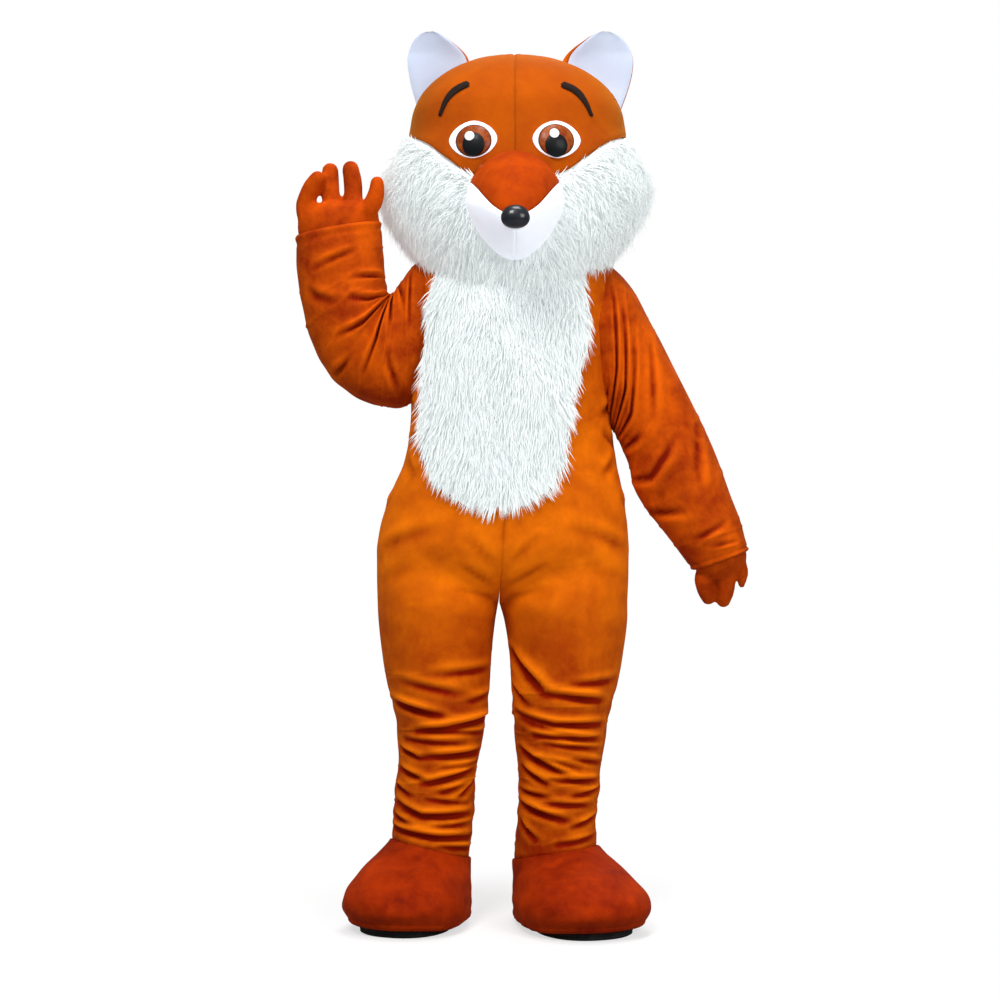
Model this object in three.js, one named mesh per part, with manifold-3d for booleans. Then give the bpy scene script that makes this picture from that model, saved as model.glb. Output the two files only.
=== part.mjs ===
// A fox mascot costume as it is worn: head, jumpsuit, gloves and shoe covers, hollow, with no wearer.
// Millimetres, Z up, the face looks along -Y. Heights in the tables (h) are above the floor.
import * as THREE from 'three';
import { mergeVertices } from 'three/addons/utils/BufferGeometryUtils.js';
import Module from 'manifold-3d';

const wasm = await Module();
wasm.setup();

const SHOULDER_HEIGHT = 1360; // the wearer's shoulders carry the jumpsuit, and the origin is between them
const CLOTH = 3; // short plush with its knit backing
const HEAD_WALL = 8; // plush glued on sheet foam
const FUR_WALL = 22; // foam, backing and the reach of the long pile
const SHOE_WALL = 9;
const GLOVE_CLOTH = 3;
const SEAM = 0.3; // between two pieces

const ORANGE = 0xd8640c;
const RUST = 0xb04008;
const WHITE_FUR = 0xeef2f2;
const WHITE_PLUSH = 0xe6ebf4;
const BLACK = 0x17181b;
const BROW_BROWN = 0x3d2c22;
const IRIS_BROWN = 0x9c4510;
const WHITE = 0xffffff;
const EYE_GLOSS = 0.15;

const costume = new THREE.Group();
costume.position.z = -SHOULDER_HEIGHT;

// Small helpers

const point = (x, y, z) => new THREE.Vector3(x, y, z);
const mix = (a, b, t) => a + (b - a) * t;
const clamp = (x, low = 0, high = 1) => Math.min(high, Math.max(low, x));
const ease = (low, high, x) => {
  const t = clamp((x - low) / (high - low));
  return t * t * (3 - 2 * t);
};

// A smooth curve through one column of a table whose key column rises.
function curve(rows, key, column) {
  const at = rows.map((row) => row[key]);
  const value = rows.map((row) => row[column]);
  const last = rows.length - 1;
  const slope = value.map((_, i) => {
    const a = Math.max(i - 1, 0);
    const b = Math.min(i + 1, last);
    return (value[b] - value[a]) / (at[b] - at[a]);
  });
  return (x) => {
    let k = 0;
    while (k < last - 1 && x > at[k + 1]) k += 1;
    const d = at[k + 1] - at[k];
    const t = clamp((x - at[k]) / d);
    const t2 = t * t;
    const t3 = t2 * t;
    return (2 * t3 - 3 * t2 + 1) * value[k] + (t3 - 2 * t2 + t) * d * slope[k]
      + (3 * t2 - 2 * t3) * value[k + 1] + (t3 - t2) * d * slope[k + 1];
  };
}

// All the columns of a table as curves.
function curves(rows, key) {
  const made = {};
  for (const column of Object.keys(rows[0])) made[column] = curve(rows, key, column);
  return made;
}

// A geometry from indexed points, with its faces turned to point out.
function geometryOf(points, faces) {
  let volume = 0;
  for (const [a, b, c] of faces) volume += points[a].dot(points[b].clone().cross(points[c]));
  const turned = volume < 0 ? faces.map(([a, b, c]) => [a, c, b]) : faces;
  const geometry = new THREE.BufferGeometry().setFromPoints(points);
  geometry.setIndex(turned.flat());
  const merged = mergeVertices(geometry, 1e-3);
  const index = [];
  for (let i = 0; i < merged.index.count; i += 3) {
    const [a, b, c] = [0, 1, 2].map((k) => merged.index.getX(i + k));
    if (a !== b && b !== c && c !== a) index.push(a, b, c);
  }
  merged.setIndex(index);
  return merged;
}

// Two triangles for a quad, split along its shorter diagonal.
function splitQuad(points, [a, b, c, d]) {
  const shorter = points[a].distanceTo(points[c]) <= points[b].distanceTo(points[d]);
  return shorter ? [[a, b, c], [a, c, d]] : [[a, b, d], [b, c, d]];
}

// A wall of cloth: a grid of outside points and a grid of inside points, joined along the free edges.
function wall(rows, columns, outside, inside, loop = false) {
  const across = loop ? columns : columns + 1;
  const points = [];
  for (const grid of [outside, inside]) {
    for (let r = 0; r <= rows; r += 1) {
      for (let c = 0; c < across; c += 1) points.push(grid(r, c));
    }
  }
  const layer = (rows + 1) * across;
  const id = (side, r, c) => side * layer + r * across + (c % across);
  const faces = [];
  const quad = (...corners) => faces.push(...splitQuad(points, corners));
  for (let r = 0; r < rows; r += 1) {
    for (let c = 0; c < columns; c += 1) {
      quad(id(0, r, c), id(0, r, c + 1), id(0, r + 1, c + 1), id(0, r + 1, c));
      quad(id(1, r, c), id(1, r + 1, c), id(1, r + 1, c + 1), id(1, r, c + 1));
    }
  }
  for (let c = 0; c < columns; c += 1) {
    quad(id(0, 0, c + 1), id(0, 0, c), id(1, 0, c), id(1, 0, c + 1));
    quad(id(0, rows, c), id(0, rows, c + 1), id(1, rows, c + 1), id(1, rows, c));
  }
  for (let r = 0; r < rows && !loop; r += 1) {
    quad(id(0, r, 0), id(0, r + 1, 0), id(1, r + 1, 0), id(1, r, 0));
    quad(id(0, r + 1, columns), id(0, r, columns), id(1, r, columns), id(1, r + 1, columns));
  }
  return geometryOf(points, faces);
}

// A closed body through rings of points, with flat ends.
function loft(rows, columns, ring) {
  const points = [];
  for (let r = 0; r <= rows; r += 1) {
    for (let c = 0; c < columns; c += 1) points.push(ring(r, c));
  }
  const faces = [];
  for (let r = 0; r < rows; r += 1) {
    for (let c = 0; c < columns; c += 1) {
      const [a, b] = [r * columns + c, r * columns + ((c + 1) % columns)];
      faces.push(...splitQuad(points, [a, b, b + columns, a + columns]));
    }
  }
  for (const [row, turn] of [[0, 1], [rows, 0]]) {
    const middle = point(0, 0, 0);
    for (let c = 0; c < columns; c += 1) middle.add(points[row * columns + c]);
    points.push(middle.divideScalar(columns));
    for (let c = 0; c < columns; c += 1) {
      const [a, b] = [row * columns + c, row * columns + ((c + 1) % columns)];
      faces.push(turn ? [b, a, points.length - 1] : [a, b, points.length - 1]);
    }
  }
  return geometryOf(points, faces);
}

// Booleans

function solid(geometry) {
  const vertProperties = new Float32Array(geometry.attributes.position.array);
  const triVerts = new Uint32Array(geometry.index.array);
  return new wasm.Manifold(new wasm.Mesh({ numProp: 3, vertProperties, triVerts }));
}

// The largest single body of a solid, as a geometry: a cut can leave crumbs.
function largest(cut) {
  const [first, ...others] = cut.decompose();
  const body = others.reduce((best, next) => (next.volume() > best.volume() ? next : best), first);
  const { vertProperties, triVerts, numProp } = body.getMesh();
  const geometry = new THREE.BufferGeometry();
  const positions = new Float32Array((vertProperties.length / numProp) * 3);
  for (let i = 0; i < positions.length / 3; i += 1) {
    for (let k = 0; k < 3; k += 1) positions[3 * i + k] = vertProperties[i * numProp + k];
  }
  geometry.setAttribute('position', new THREE.BufferAttribute(positions, 3));
  geometry.setIndex(new THREE.BufferAttribute(new Uint32Array(triVerts), 1));
  return geometry;
}

const without = (body, tools) => tools.reduce((left, tool) => left.subtract(tool), body);
const cutBy = (geometry, ...tools) => largest(without(solid(geometry), tools));

function add(name, geometry, color, roughness = 0.9) {
  const material = new THREE.MeshStandardMaterial({ color, roughness, metalness: 0 });
  const mesh = new THREE.Mesh(geometry, material);
  mesh.name = name;
  costume.add(mesh);
}

// The jumpsuit's torso: its outline from the front, the middle seam, and its depth before and behind y = 0.
const TORSO = [
  { h: 660, left: -267, right: 252, seam: -15, front: 142, back: 150 },
  { h: 708, left: -268, right: 254, seam: -12, front: 152, back: 162 },
  { h: 790, left: -266, right: 254, seam: -7, front: 166, back: 172 },
  { h: 874, left: -245, right: 245, seam: -2, front: 166, back: 164 },
  { h: 957, left: -210, right: 228, seam: 3, front: 160, back: 150 },
  { h: 1040, left: -198, right: 218, seam: 7, front: 156, back: 142 },
  { h: 1144, left: -196, right: 220, seam: 11, front: 152, back: 138 },
  { h: 1228, left: -195, right: 224, seam: 14, front: 146, back: 136 },
  { h: 1290, left: -192, right: 226, seam: 16, front: 138, back: 132 },
  { h: 1321, left: -188, right: 222, seam: 17, front: 128, back: 127 },
  { h: 1345, left: -176, right: 210, seam: 17, front: 114, back: 118 },
  { h: 1362, left: -152, right: 186, seam: 17, front: 99, back: 106 },
  { h: 1374, left: -124, right: 158, seam: 17, front: 86, back: 96 },
  { h: 1382, left: -98, right: 132, seam: 17, front: 76, back: 88 },
];
const TORSO_SQUARENESS = 2.35; // of the superellipse that each section follows

// Each leg: inseam and outseam, depth before and behind its own middle, and that middle's place.
const LEGS = {
  left: [
    { h: 135, inner: -77, outer: -238, front: 84, back: 88, y: 10 },
    { h: 229, inner: -66, outer: -234, front: 87, back: 92, y: 6 },
    { h: 292, inner: -64, outer: -229, front: 89, back: 94, y: 2 },
    { h: 350, inner: -55, outer: -223, front: 93, back: 97, y: -2 },
    { h: 437, inner: -39, outer: -232, front: 105, back: 109, y: -5 },
    { h: 500, inner: -33, outer: -248, front: 116, back: 122, y: -5 },
    { h: 562, inner: -29, outer: -258, front: 126, back: 134, y: -3 },
    { h: 624, inner: -22, outer: -265, front: 137, back: 146, y: 0 },
    { h: 660, inner: -16, outer: -267, front: 142, back: 150, y: 0 },
  ],
  right: [
    { h: 135, inner: 17, outer: 190, front: 84, back: 88, y: 10 },
    { h: 208, inner: 23, outer: 187, front: 87, back: 92, y: 6 },
    { h: 271, inner: 26, outer: 194, front: 89, back: 94, y: 2 },
    { h: 333, inner: 23, outer: 199, front: 93, back: 97, y: -2 },
    { h: 437, inner: 14, outer: 216, front: 105, back: 109, y: -5 },
    { h: 500, inner: 10, outer: 233, front: 116, back: 122, y: -5 },
    { h: 562, inner: 6, outer: 244, front: 126, back: 134, y: -3 },
    { h: 624, inner: -4, outer: 252, front: 137, back: 146, y: 0 },
    { h: 660, inner: -14, outer: 252, front: 142, back: 150, y: 0 },
  ],
};

// Folds of a leg: each valley runs from share a at height ha to share b at height hb of the way from
// inseam to outseam. The cloth rolls over above it.
const LEG_FOLDS = [
  { side: 'left', a: 0.1, ha: 530, b: 0.5, hb: 519, depth: 5, width: 15 },
  { side: 'left', a: 0.5, ha: 437, b: 0.92, hb: 463, depth: 8, width: 15 },
  { side: 'left', a: 0.05, ha: 430, b: 0.64, hb: 401, depth: 9, width: 15 },
  { side: 'left', a: 0.08, ha: 357, b: 0.62, hb: 349, depth: 9, width: 15 },
  { side: 'left', a: 0.18, ha: 320, b: 0.93, hb: 300, depth: 8, width: 15 },
  { side: 'left', a: 0.12, ha: 262, b: 0.5, hb: 277, depth: 6, width: 15 },
  { side: 'left', a: 0.1, ha: 228, b: 0.88, hb: 240, depth: 9, width: 15 },
  { side: 'left', a: 0.12, ha: 176, b: 0.9, hb: 197, depth: 7, width: 14 },
  { side: 'right', a: 0.05, ha: 563, b: 0.4, hb: 474, depth: 10, width: 16 },
  { side: 'right', a: 0.4, ha: 481, b: 0.8, hb: 462, depth: 8, width: 15 },
  { side: 'right', a: 0.1, ha: 437, b: 0.85, hb: 413, depth: 9, width: 15 },
  { side: 'right', a: 0.3, ha: 391, b: 0.85, hb: 372, depth: 8, width: 15 },
  { side: 'right', a: 0.1, ha: 366, b: 0.55, hb: 313, depth: 9, width: 15 },
  { side: 'right', a: 0.4, ha: 303, b: 0.88, hb: 297, depth: 8, width: 15 },
  { side: 'right', a: 0.08, ha: 253, b: 0.6, hb: 218, depth: 9, width: 15 },
  { side: 'right', a: 0.08, ha: 214, b: 0.3, hb: 176, depth: 6, width: 14 },
];
const FOLD_FADE = 0.14; // share over which a fold runs out past each end
const FOLD_FULL = 0.04; // share inside each end where it has its whole depth
const BACK_FOLD_SHIFT = -11; // the back legs' folds lie this much lower

// Heights that the leg hems and the shoe covers share, round the ankle from the outside (0 degrees).
const ANKLE_TOP = {
  left: { outer: 167, inner: 127 }, right: { outer: 154, inner: 124 }, instep: 13, heel: -5,
};

const torso = curves(TORSO, 'h');
const legs = { left: curves(LEGS.left, 'h'), right: curves(LEGS.right, 'h') };
const CROTCH = 660;
const HEM_HEIGHT = 135; // where the tables of the legs begin
const HIP = 790; // where the centre seam starts to turn under
const FOLD_LEG_END = 264; // below this the leg's rows slope to meet the shoe cover

// That height at a share from inseam to outseam, on the front or the back.
const ankleTop = (side, face, share) => mix(ANKLE_TOP[side].inner, ANKLE_TOP[side].outer, share)
  + (face < 0 ? ANKLE_TOP.instep : ANKLE_TOP.heel) * Math.sqrt(4 * share * (1 - share));

// How far a leg's folds move its surface, at share u round one face and height h.
function legFold(side, face, u, h) {
  let moved = 0;
  for (const fold of LEG_FOLDS) {
    if (fold.side !== side) continue;
    const along = clamp((u - fold.a) / (fold.b - fold.a), -0.3, 1.3);
    const valley = mix(fold.ha, fold.hb, along) + (face > 0 ? BACK_FOLD_SHIFT : 0);
    const begun = ease(fold.a - FOLD_FADE, fold.a + FOLD_FULL, u);
    const ended = ease(fold.b - FOLD_FULL, fold.b + FOLD_FADE, u);
    const q = (h - valley) / fold.width;
    const roll = 0.55 * Math.exp(-((q - 1.6) ** 2)) - 0.6 * Math.exp(-q * q);
    moved += fold.depth * begun * (1 - ended) * roll;
  }
  return moved;
}

// A point of the torso: share u from the middle seam (0) to the side seam (1), on the front (face -1)
// or the back (face 1), moved in from the surface by inset.
function torsoPoint(side, face, u, h, inset) {
  const seam = torso.seam(h);
  const half = Math.abs(torso[side](h) - seam) - inset;
  const depth = (face < 0 ? torso.front(h) : torso.back(h)) - inset;
  const angle = (u * Math.PI) / 2;
  const power = 2 / TORSO_SQUARENESS;
  const sign = side === 'left' ? -1 : 1;
  return point(seam + sign * half * Math.sin(angle) ** power, face * depth * Math.cos(angle) ** power, h);
}

// A point of a leg: share u from the inseam (0) to the outseam (1).
function legPoint(side, face, u, h, inset) {
  const at = Math.min(h, CROTCH);
  const inner = h > CROTCH ? torso.seam(h) : legs[side].inner(at);
  const outer = h > CROTCH ? torso[side](h) : legs[side].outer(at);
  const sign = Math.sign(outer - inner);
  const fold = h < CROTCH ? legFold(side, face, u, h) : 0;
  const half = Math.abs(outer - inner) / 2 - inset + fold;
  const depth = (face < 0 ? legs[side].front(at) : legs[side].back(at)) - inset + fold;
  const angle = u * Math.PI;
  const x = (inner + outer) / 2 - sign * half * Math.cos(angle);
  return point(x, legs[side].y(at) + face * depth * Math.sin(angle), h);
}

// The rows of a body panel, from the neck down: height, and how far the section has become a leg's.
const TORSO_ROWS = [1382, 1371, 1353, 1325, 1275, 1200, 1120, 1040, 960, 875, 790];
const TURN_ROWS = 4;
const LEG_ROWS = [633, 605, 578, 552, 527, 503, 480, 457, 434, 411, 388, 365, 341, 316, 290, 264];
const HEM_ROWS = 5;
const HEM_TUCK = 8; // the panel is cut to length where it meets the shoe cover
const rows = TORSO_ROWS.map((h) => ({ h, leg: 0 }));
for (let i = 1; i <= TURN_ROWS; i += 1) {
  const turn = (i / TURN_ROWS) * (Math.PI / 2);
  const down = Math.sin(turn);
  rows.push({ h: mix(HIP, CROTCH, down), leg: 1 - Math.cos(turn), early: ease(0, 1, down) });
}
for (const h of LEG_ROWS) rows.push({ h, leg: 1 });
for (let i = 1; i <= HEM_ROWS; i += 1) rows.push({ h: FOLD_LEG_END, leg: 1, hem: i / HEM_ROWS });

const PANEL_COLUMNS = 6;
function bodyPoint(side, face, u, row, inset) {
  const bottom = ankleTop(side, face, u) - HEM_TUCK;
  const h = row.hem ? mix(FOLD_LEG_END, bottom, row.hem) : row.h;
  if (row.leg === 0) return torsoPoint(side, face, u, h, inset);
  const leg = legPoint(side, face, u, Math.max(h, HEM_HEIGHT), inset);
  leg.z = h;
  if (!row.early) return leg;
  return torsoPoint(side, face, u, h, inset).lerp(leg, mix(row.leg, row.early, ease(0, 0.5, u)));
}

// One quarter of the jumpsuit, from neck to hem, kept half a seam from its neighbours.
function bodyPanel(side, face) {
  const away = point(side === 'left' ? -SEAM / 2 : SEAM / 2, (face * SEAM) / 2, 0);
  const grid = (inset) => (r, c) => bodyPoint(side, face, c / PANEL_COLUMNS, rows[r], inset).add(away);
  return wall(rows.length - 1, PANEL_COLUMNS, grid(0), grid(CLOTH));
}

// The torso as one filled body, grown by a little, to cut what is sewn to it.
function torsoBlock(grow) {
  const quarters = [['right', -1, 0], ['right', 1, 1], ['left', 1, 0], ['left', -1, 1]];
  const ring = (r, c) => {
    const [side, face, backwards] = quarters[Math.floor(c / PANEL_COLUMNS)];
    const share = (c % PANEL_COLUMNS) / PANEL_COLUMNS;
    const made = torsoPoint(side, face, backwards ? 1 - share : share, TORSO_ROWS[r], -grow - SEAM / 2);
    if (r === 0) made.z += grow;
    return made;
  };
  return solid(loft(TORSO_ROWS.length - 1, 4 * PANEL_COLUMNS, ring));
}

// Sleeves. Each row is a rung across the arm: its far edge and its near edge seen from the front,
// the middle's place in depth, and half the depth.
const SLEEVES = {
  raised: [
    { k: 0, farX: -127, farH: 1092, nearX: -127, nearH: 1362, y: 0, deep: 92 },
    { k: 1, farX: -169, farH: 1074, nearX: -164, nearH: 1371, y: 0, deep: 98 },
    { k: 2, farX: -210, farH: 1067, nearX: -193, nearH: 1358, y: -3, deep: 100 },
    { k: 3, farX: -249, farH: 1068, nearX: -213, nearH: 1331, y: -10, deep: 98 },
    { k: 4, farX: -294, farH: 1078, nearX: -228, nearH: 1306, y: -22, deep: 95 },
    { k: 5, farX: -338, farH: 1105, nearX: -238, nearH: 1292, y: -36, deep: 92 },
    { k: 6, farX: -374, farH: 1147, nearX: -244, nearH: 1299, y: -50, deep: 88 },
    { k: 7, farX: -400, farH: 1202, nearX: -247, nearH: 1319, y: -61, deep: 82 },
    { k: 8, farX: -418, farH: 1274, nearX: -249, nearH: 1350, y: -71, deep: 74 },
    { k: 9, farX: -427, farH: 1346, nearX: -252, nearH: 1390, y: -79, deep: 66 },
    { k: 10, farX: -429, farH: 1412, nearX: -255, nearH: 1442, y: -86, deep: 58 },
  ],
  lowered: [
    { k: 0, farX: 153, farH: 1362, nearX: 153, nearH: 1091, y: 0, deep: 92 },
    { k: 1, farX: 192, farH: 1370, nearX: 188, nearH: 1056, y: 0, deep: 98 },
    { k: 2, farX: 223, farH: 1354, nearX: 207, nearH: 1030, y: -2, deep: 100 },
    { k: 3, farX: 256, farH: 1319, nearX: 219, nearH: 1015, y: -5, deep: 98 },
    { k: 4, farX: 288, farH: 1263, nearX: 228, nearH: 1003, y: -9, deep: 95 },
    { k: 5, farX: 325, farH: 1195, nearX: 239, nearH: 984, y: -14, deep: 92 },
    { k: 6, farX: 376, farH: 1091, nearX: 256, nearH: 943, y: -20, deep: 89 },
    { k: 7, farX: 427, farH: 982, nearX: 272, nearH: 888, y: -27, deep: 85 },
    { k: 8, farX: 470, farH: 868, nearX: 318, nearH: 819, y: -34, deep: 75 },
    { k: 9, farX: 490, farH: 806, nearX: 358, nearH: 765, y: -39, deep: 64 },
    { k: 10, farX: 500, farH: 771, nearX: 384, nearH: 729, y: -42, deep: 54 },
  ],
};

// Creases of a sleeve: where along the rungs, the angle round the arm (0 far, 90 front, 180 near),
// how far they reach round, and how they slope, in rungs for the whole reach.
const SLEEVE_FOLDS = {
  raised: [
    { k: 4.6, angle: 120, reach: 75, slope: 1.1, depth: 9, width: 0.42 },
    { k: 6.1, angle: 125, reach: 65, slope: -0.9, depth: 8, width: 0.4 },
    { k: 3.2, angle: 130, reach: 55, slope: 0.9, depth: 7, width: 0.35 },
    { k: 2.2, angle: 120, reach: 60, slope: 0.5, depth: 6, width: 0.35 },
    { k: 5.4, angle: 250, reach: 70, slope: 0.6, depth: 8, width: 0.4 },
    { k: 7.4, angle: 160, reach: 45, slope: -0.5, depth: 5, width: 0.35 },
  ],
  lowered: [
    { k: 2.6, angle: 110, reach: 70, slope: -1.6, depth: 7, width: 0.4 },
    { k: 3.8, angle: 105, reach: 65, slope: -1.8, depth: 7, width: 0.42 },
    { k: 5.4, angle: 85, reach: 50, slope: -1.2, depth: 6, width: 0.4 },
    { k: 6.9, angle: 140, reach: 50, slope: 0.8, depth: 5, width: 0.35 },
    { k: 8, angle: 95, reach: 50, slope: 0.6, depth: 5, width: 0.35 },
    { k: 3.4, angle: 250, reach: 70, slope: 1.4, depth: 7, width: 0.4 },
    { k: 5.8, angle: 260, reach: 60, slope: 1, depth: 6, width: 0.4 },
  ],
};
const SLEEVE_COLUMNS = 12;
const SLEEVE_ROWS = [0, 1, 1.75, 2.4, 2.9, 3.4, 3.9, 4.4, 4.9, 5.4, 5.9, 6.4, 6.9, 7.5, 8.2, 9.1, 10];
const SHOULDER_ROWS = 6; // how many of these can meet the torso, the bib or the head
const sleeves = { raised: curves(SLEEVES.raised, 'k'), lowered: curves(SLEEVES.lowered, 'k') };

function sleeveFold(arm, k, degrees) {
  let moved = 0;
  for (const fold of SLEEVE_FOLDS[arm]) {
    const off = ((degrees - fold.angle + 540) % 360) - 180;
    const share = off / fold.reach;
    if (Math.abs(share) > 1) continue;
    const q = (k - fold.k - fold.slope * share * 0.5) / fold.width;
    moved -= fold.depth * (1 - share * share) * (Math.exp(-q * q) - 0.5 * Math.exp(-((q - 1.7) ** 2)));
  }
  return moved;
}

function sleevePoint(arm, k, degrees, inset) {
  const at = sleeves[arm];
  const far = point(at.farX(k), at.y(k), at.farH(k));
  const near = point(at.nearX(k), at.y(k), at.nearH(k));
  const middle = far.clone().lerp(near, 0.5);
  const across = far.clone().sub(middle);
  const fold = k > 1.5 && k < 9.5 ? sleeveFold(arm, k, degrees) : 0;
  const half = across.length() - inset + fold;
  const angle = THREE.MathUtils.degToRad(degrees);
  return middle.addScaledVector(across.normalize(), half * Math.cos(angle))
    .add(point(0, -(at.deep(k) - inset + fold) * Math.sin(angle), 0));
}

const sleeveGrid = (arm, inset) => (r, c) => sleevePoint(
  arm, SLEEVE_ROWS[r], (c / SLEEVE_COLUMNS) * 360, inset);

// What a sleeve leaves hollow, to open the armhole, and what it fills, to keep its neighbours clear.
const shoulder = (arm, inset) => solid(loft(SHOULDER_ROWS, SLEEVE_COLUMNS, sleeveGrid(arm, inset)));
const armhole = (arm) => shoulder(arm, CLOTH);
const upperArm = (arm) => shoulder(arm, -SEAM);

// The bib: white long-pile fur on the chest and belly, over the jumpsuit's front.
const BIB = [
  { h: 840, left: -32, right: -6 },
  { h: 852, left: -68, right: 26 },
  { h: 870, left: -100, right: 56 },
  { h: 898, left: -134, right: 90 },
  { h: 930, left: -155, right: 110 },
  { h: 970, left: -168, right: 120 },
  { h: 1020, left: -174, right: 126 },
  { h: 1075, left: -173, right: 132 },
  { h: 1145, left: -174, right: 152 },
  { h: 1200, left: -171, right: 164 },
  { h: 1260, left: -162, right: 167 },
  { h: 1346, left: -146, right: 156 },
];
const BIB_THICK = 15;
const BIB_TOP = 1346;
const bib = curves(BIB, 'h');

// The torso's front moved out, as a wall, with the bib's outline cut from it.
function bibSolid(grow) {
  const columns = 2 * PANEL_COLUMNS;
  const grid = (lift) => (r, c) => {
    const side = c < PANEL_COLUMNS ? 'left' : 'right';
    return torsoPoint(side, -1, Math.abs(c / PANEL_COLUMNS - 1), TORSO_ROWS[r], -lift);
  };
  const [outside, inside] = [grid(2 * SEAM + BIB_THICK + grow), grid(2 * SEAM - grow)];
  const front = wall(TORSO_ROWS.length - 1, columns, outside, inside);
  const heights = BIB.map((row) => row.h);
  const up = heights.map((h) => [bib.right(h) + grow, h]);
  const down = heights.reverse().map((h) => [bib.left(h) - grow, h]);
  const edge = [...up, ...down];
  const outline = loft(1, edge.length, (r, c) => {
    const [x, h] = edge[c];
    return point(x, r === 0 ? -40 : -260, h === BIB_TOP ? h + grow : h);
  });
  return solid(front).intersect(solid(outline));
}

// The head: half width and depth before and behind its middle, to the tips of the cheek fur.
// Above the brow it is half an egg.
const HEAD_X = 17;
const HEAD_Y = -10;
const HEAD = [
  { h: 1326, left: 150, right: 148, front: 140, back: 128 },
  { h: 1345, left: 166, right: 166, front: 152, back: 142 },
  { h: 1369, left: 188, right: 188, front: 166, back: 158 },
  { h: 1402, left: 217, right: 217, front: 184, back: 174 },
  { h: 1440, left: 245, right: 246, front: 198, back: 185 },
  { h: 1481, left: 267, right: 269, front: 206, back: 192 },
  { h: 1519, left: 278, right: 281, front: 209, back: 196 },
  { h: 1550, left: 268, right: 275, front: 208, back: 198 },
  { h: 1585, left: 244, right: 254, front: 204, back: 198 },
  { h: 1615, left: 223, right: 236, front: 200, back: 197 },
  { h: 1640, left: 215, right: 229, front: 196, back: 195 },
];
const BROW = 1640;
const CROWN_RISE = 154;
const HEAD_SQUARENESS = 2.2;
const head = curves(HEAD, 'h');

// The lower edge of the orange face and crown, by the angle round from the front.
const FACE_EDGE = [
  { a: 0, h: 1512 }, { a: 10, h: 1514 }, { a: 18, h: 1524 }, { a: 29, h: 1555 },
  { a: 46, h: 1590 }, { a: 68, h: 1612 }, { a: 90, h: 1623 }, { a: 125, h: 1626 }, { a: 180, h: 1626 },
];
const faceEdge = curve(FACE_EDGE, 'a', 'h');
const CHEEK_END = 125; // degrees round from the front, where the fur meets the plain back

function headSize(h, inset) {
  const rise = CROWN_RISE - inset;
  const up = clamp((h - BROW) / rise);
  const shrink = h > BROW ? Math.sqrt(Math.max(0, 1 - up * up)) : 1;
  const at = Math.min(h, BROW);
  const size = {};
  for (const way of ['left', 'right', 'front', 'back']) size[way] = (head[way](at) - inset) * shrink;
  return size;
}

// A point of the head at an angle round from the front, on side -1 or 1.
function headPoint(side, degrees, h, inset) {
  const size = headSize(h, inset);
  const w = side < 0 ? size.left : size.right;
  const angle = THREE.MathUtils.degToRad(degrees);
  const power = 2 / HEAD_SQUARENESS;
  const [s, c] = [Math.sin(angle), Math.cos(angle)];
  const depth = c > 0 ? -size.front * c ** power : size.back * (-c) ** power;
  return point(HEAD_X + side * w * Math.max(0, s) ** power, HEAD_Y + depth, h);
}

// A point of the face seen at x and h, moved out by grow.
function facePoint(x, h, grow) {
  const size = headSize(h, -grow);
  const share = clamp(Math.abs(x - HEAD_X) / (x < HEAD_X ? size.left : size.right));
  return point(x, HEAD_Y - size.front * (1 - share ** HEAD_SQUARENESS) ** (1 / HEAD_SQUARENESS), h);
}

// The head's panels share these angles round from the front.
const HEAD_ANGLES = [0, 13, 26, 40, 55, 72, 90, 108, CHEEK_END, 144, 162, 180];
const CHEEK_COLUMNS = HEAD_ANGLES.indexOf(CHEEK_END);
const CROWN_COLUMNS = HEAD_ANGLES.length - 1;
const FACE_ROWS = 2;
const DOME_ROWS = 5;
const halfSeam = (side) => point((side * SEAM) / 2, 0, 0);
function crownHeight(r, degrees, inset) {
  if (r <= FACE_ROWS) return mix(faceEdge(degrees), BROW, r / FACE_ROWS);
  return BROW + (CROWN_RISE - inset) * Math.sin(((r - FACE_ROWS) / DOME_ROWS) * (Math.PI / 2));
}
function crownHalf(side) {
  const grid = (inset) => (r, c) => {
    const degrees = HEAD_ANGLES[c];
    return headPoint(side, degrees, crownHeight(r, degrees, inset), inset).add(halfSeam(side));
  };
  return wall(FACE_ROWS + DOME_ROWS, CROWN_COLUMNS, grid(0), grid(HEAD_WALL));
}

// A panel below the face edge: a fur cheek, or the plain back of the head.
const CHEEK_ROWS = 6;
const EDGE_BEVEL = 3; // a lower panel's inner edge is this much lower than its outer one
const cheekHeight = (r, degrees) => mix(HEAD[0].h, faceEdge(degrees) - SEAM, r / CHEEK_ROWS);
function lowerPanel(side, from, to, thick) {
  const grid = (inset) => (r, c) => {
    const degrees = HEAD_ANGLES[from + c] + (c === 0 && from > 0 ? 0.1 : 0);
    const bevel = inset ? (EDGE_BEVEL * r) / CHEEK_ROWS : 0;
    return headPoint(side, degrees, cheekHeight(r, degrees) - bevel, inset).add(halfSeam(side));
  };
  return wall(CHEEK_ROWS, to - from, grid(0), grid(thick));
}

// The whole head as one filled body, grown by a little, to cut what is sewn to it.
function headBlock(grow) {
  const spans = CHEEK_ROWS + 1 + FACE_ROWS + DOME_ROWS;
  return solid(loft(spans, 2 * CROWN_COLUMNS, (r, c) => {
    const side = c <= CROWN_COLUMNS ? 1 : -1;
    const degrees = HEAD_ANGLES[side > 0 ? c : 2 * CROWN_COLUMNS - c];
    const up = Math.min(r - CHEEK_ROWS - 1, FACE_ROWS + DOME_ROWS - 0.02);
    const h = up < 0 ? cheekHeight(r, degrees) : crownHeight(up, degrees, -grow);
    return headPoint(side, degrees, h, -grow - SEAM / 2);
  }));
}

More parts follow.
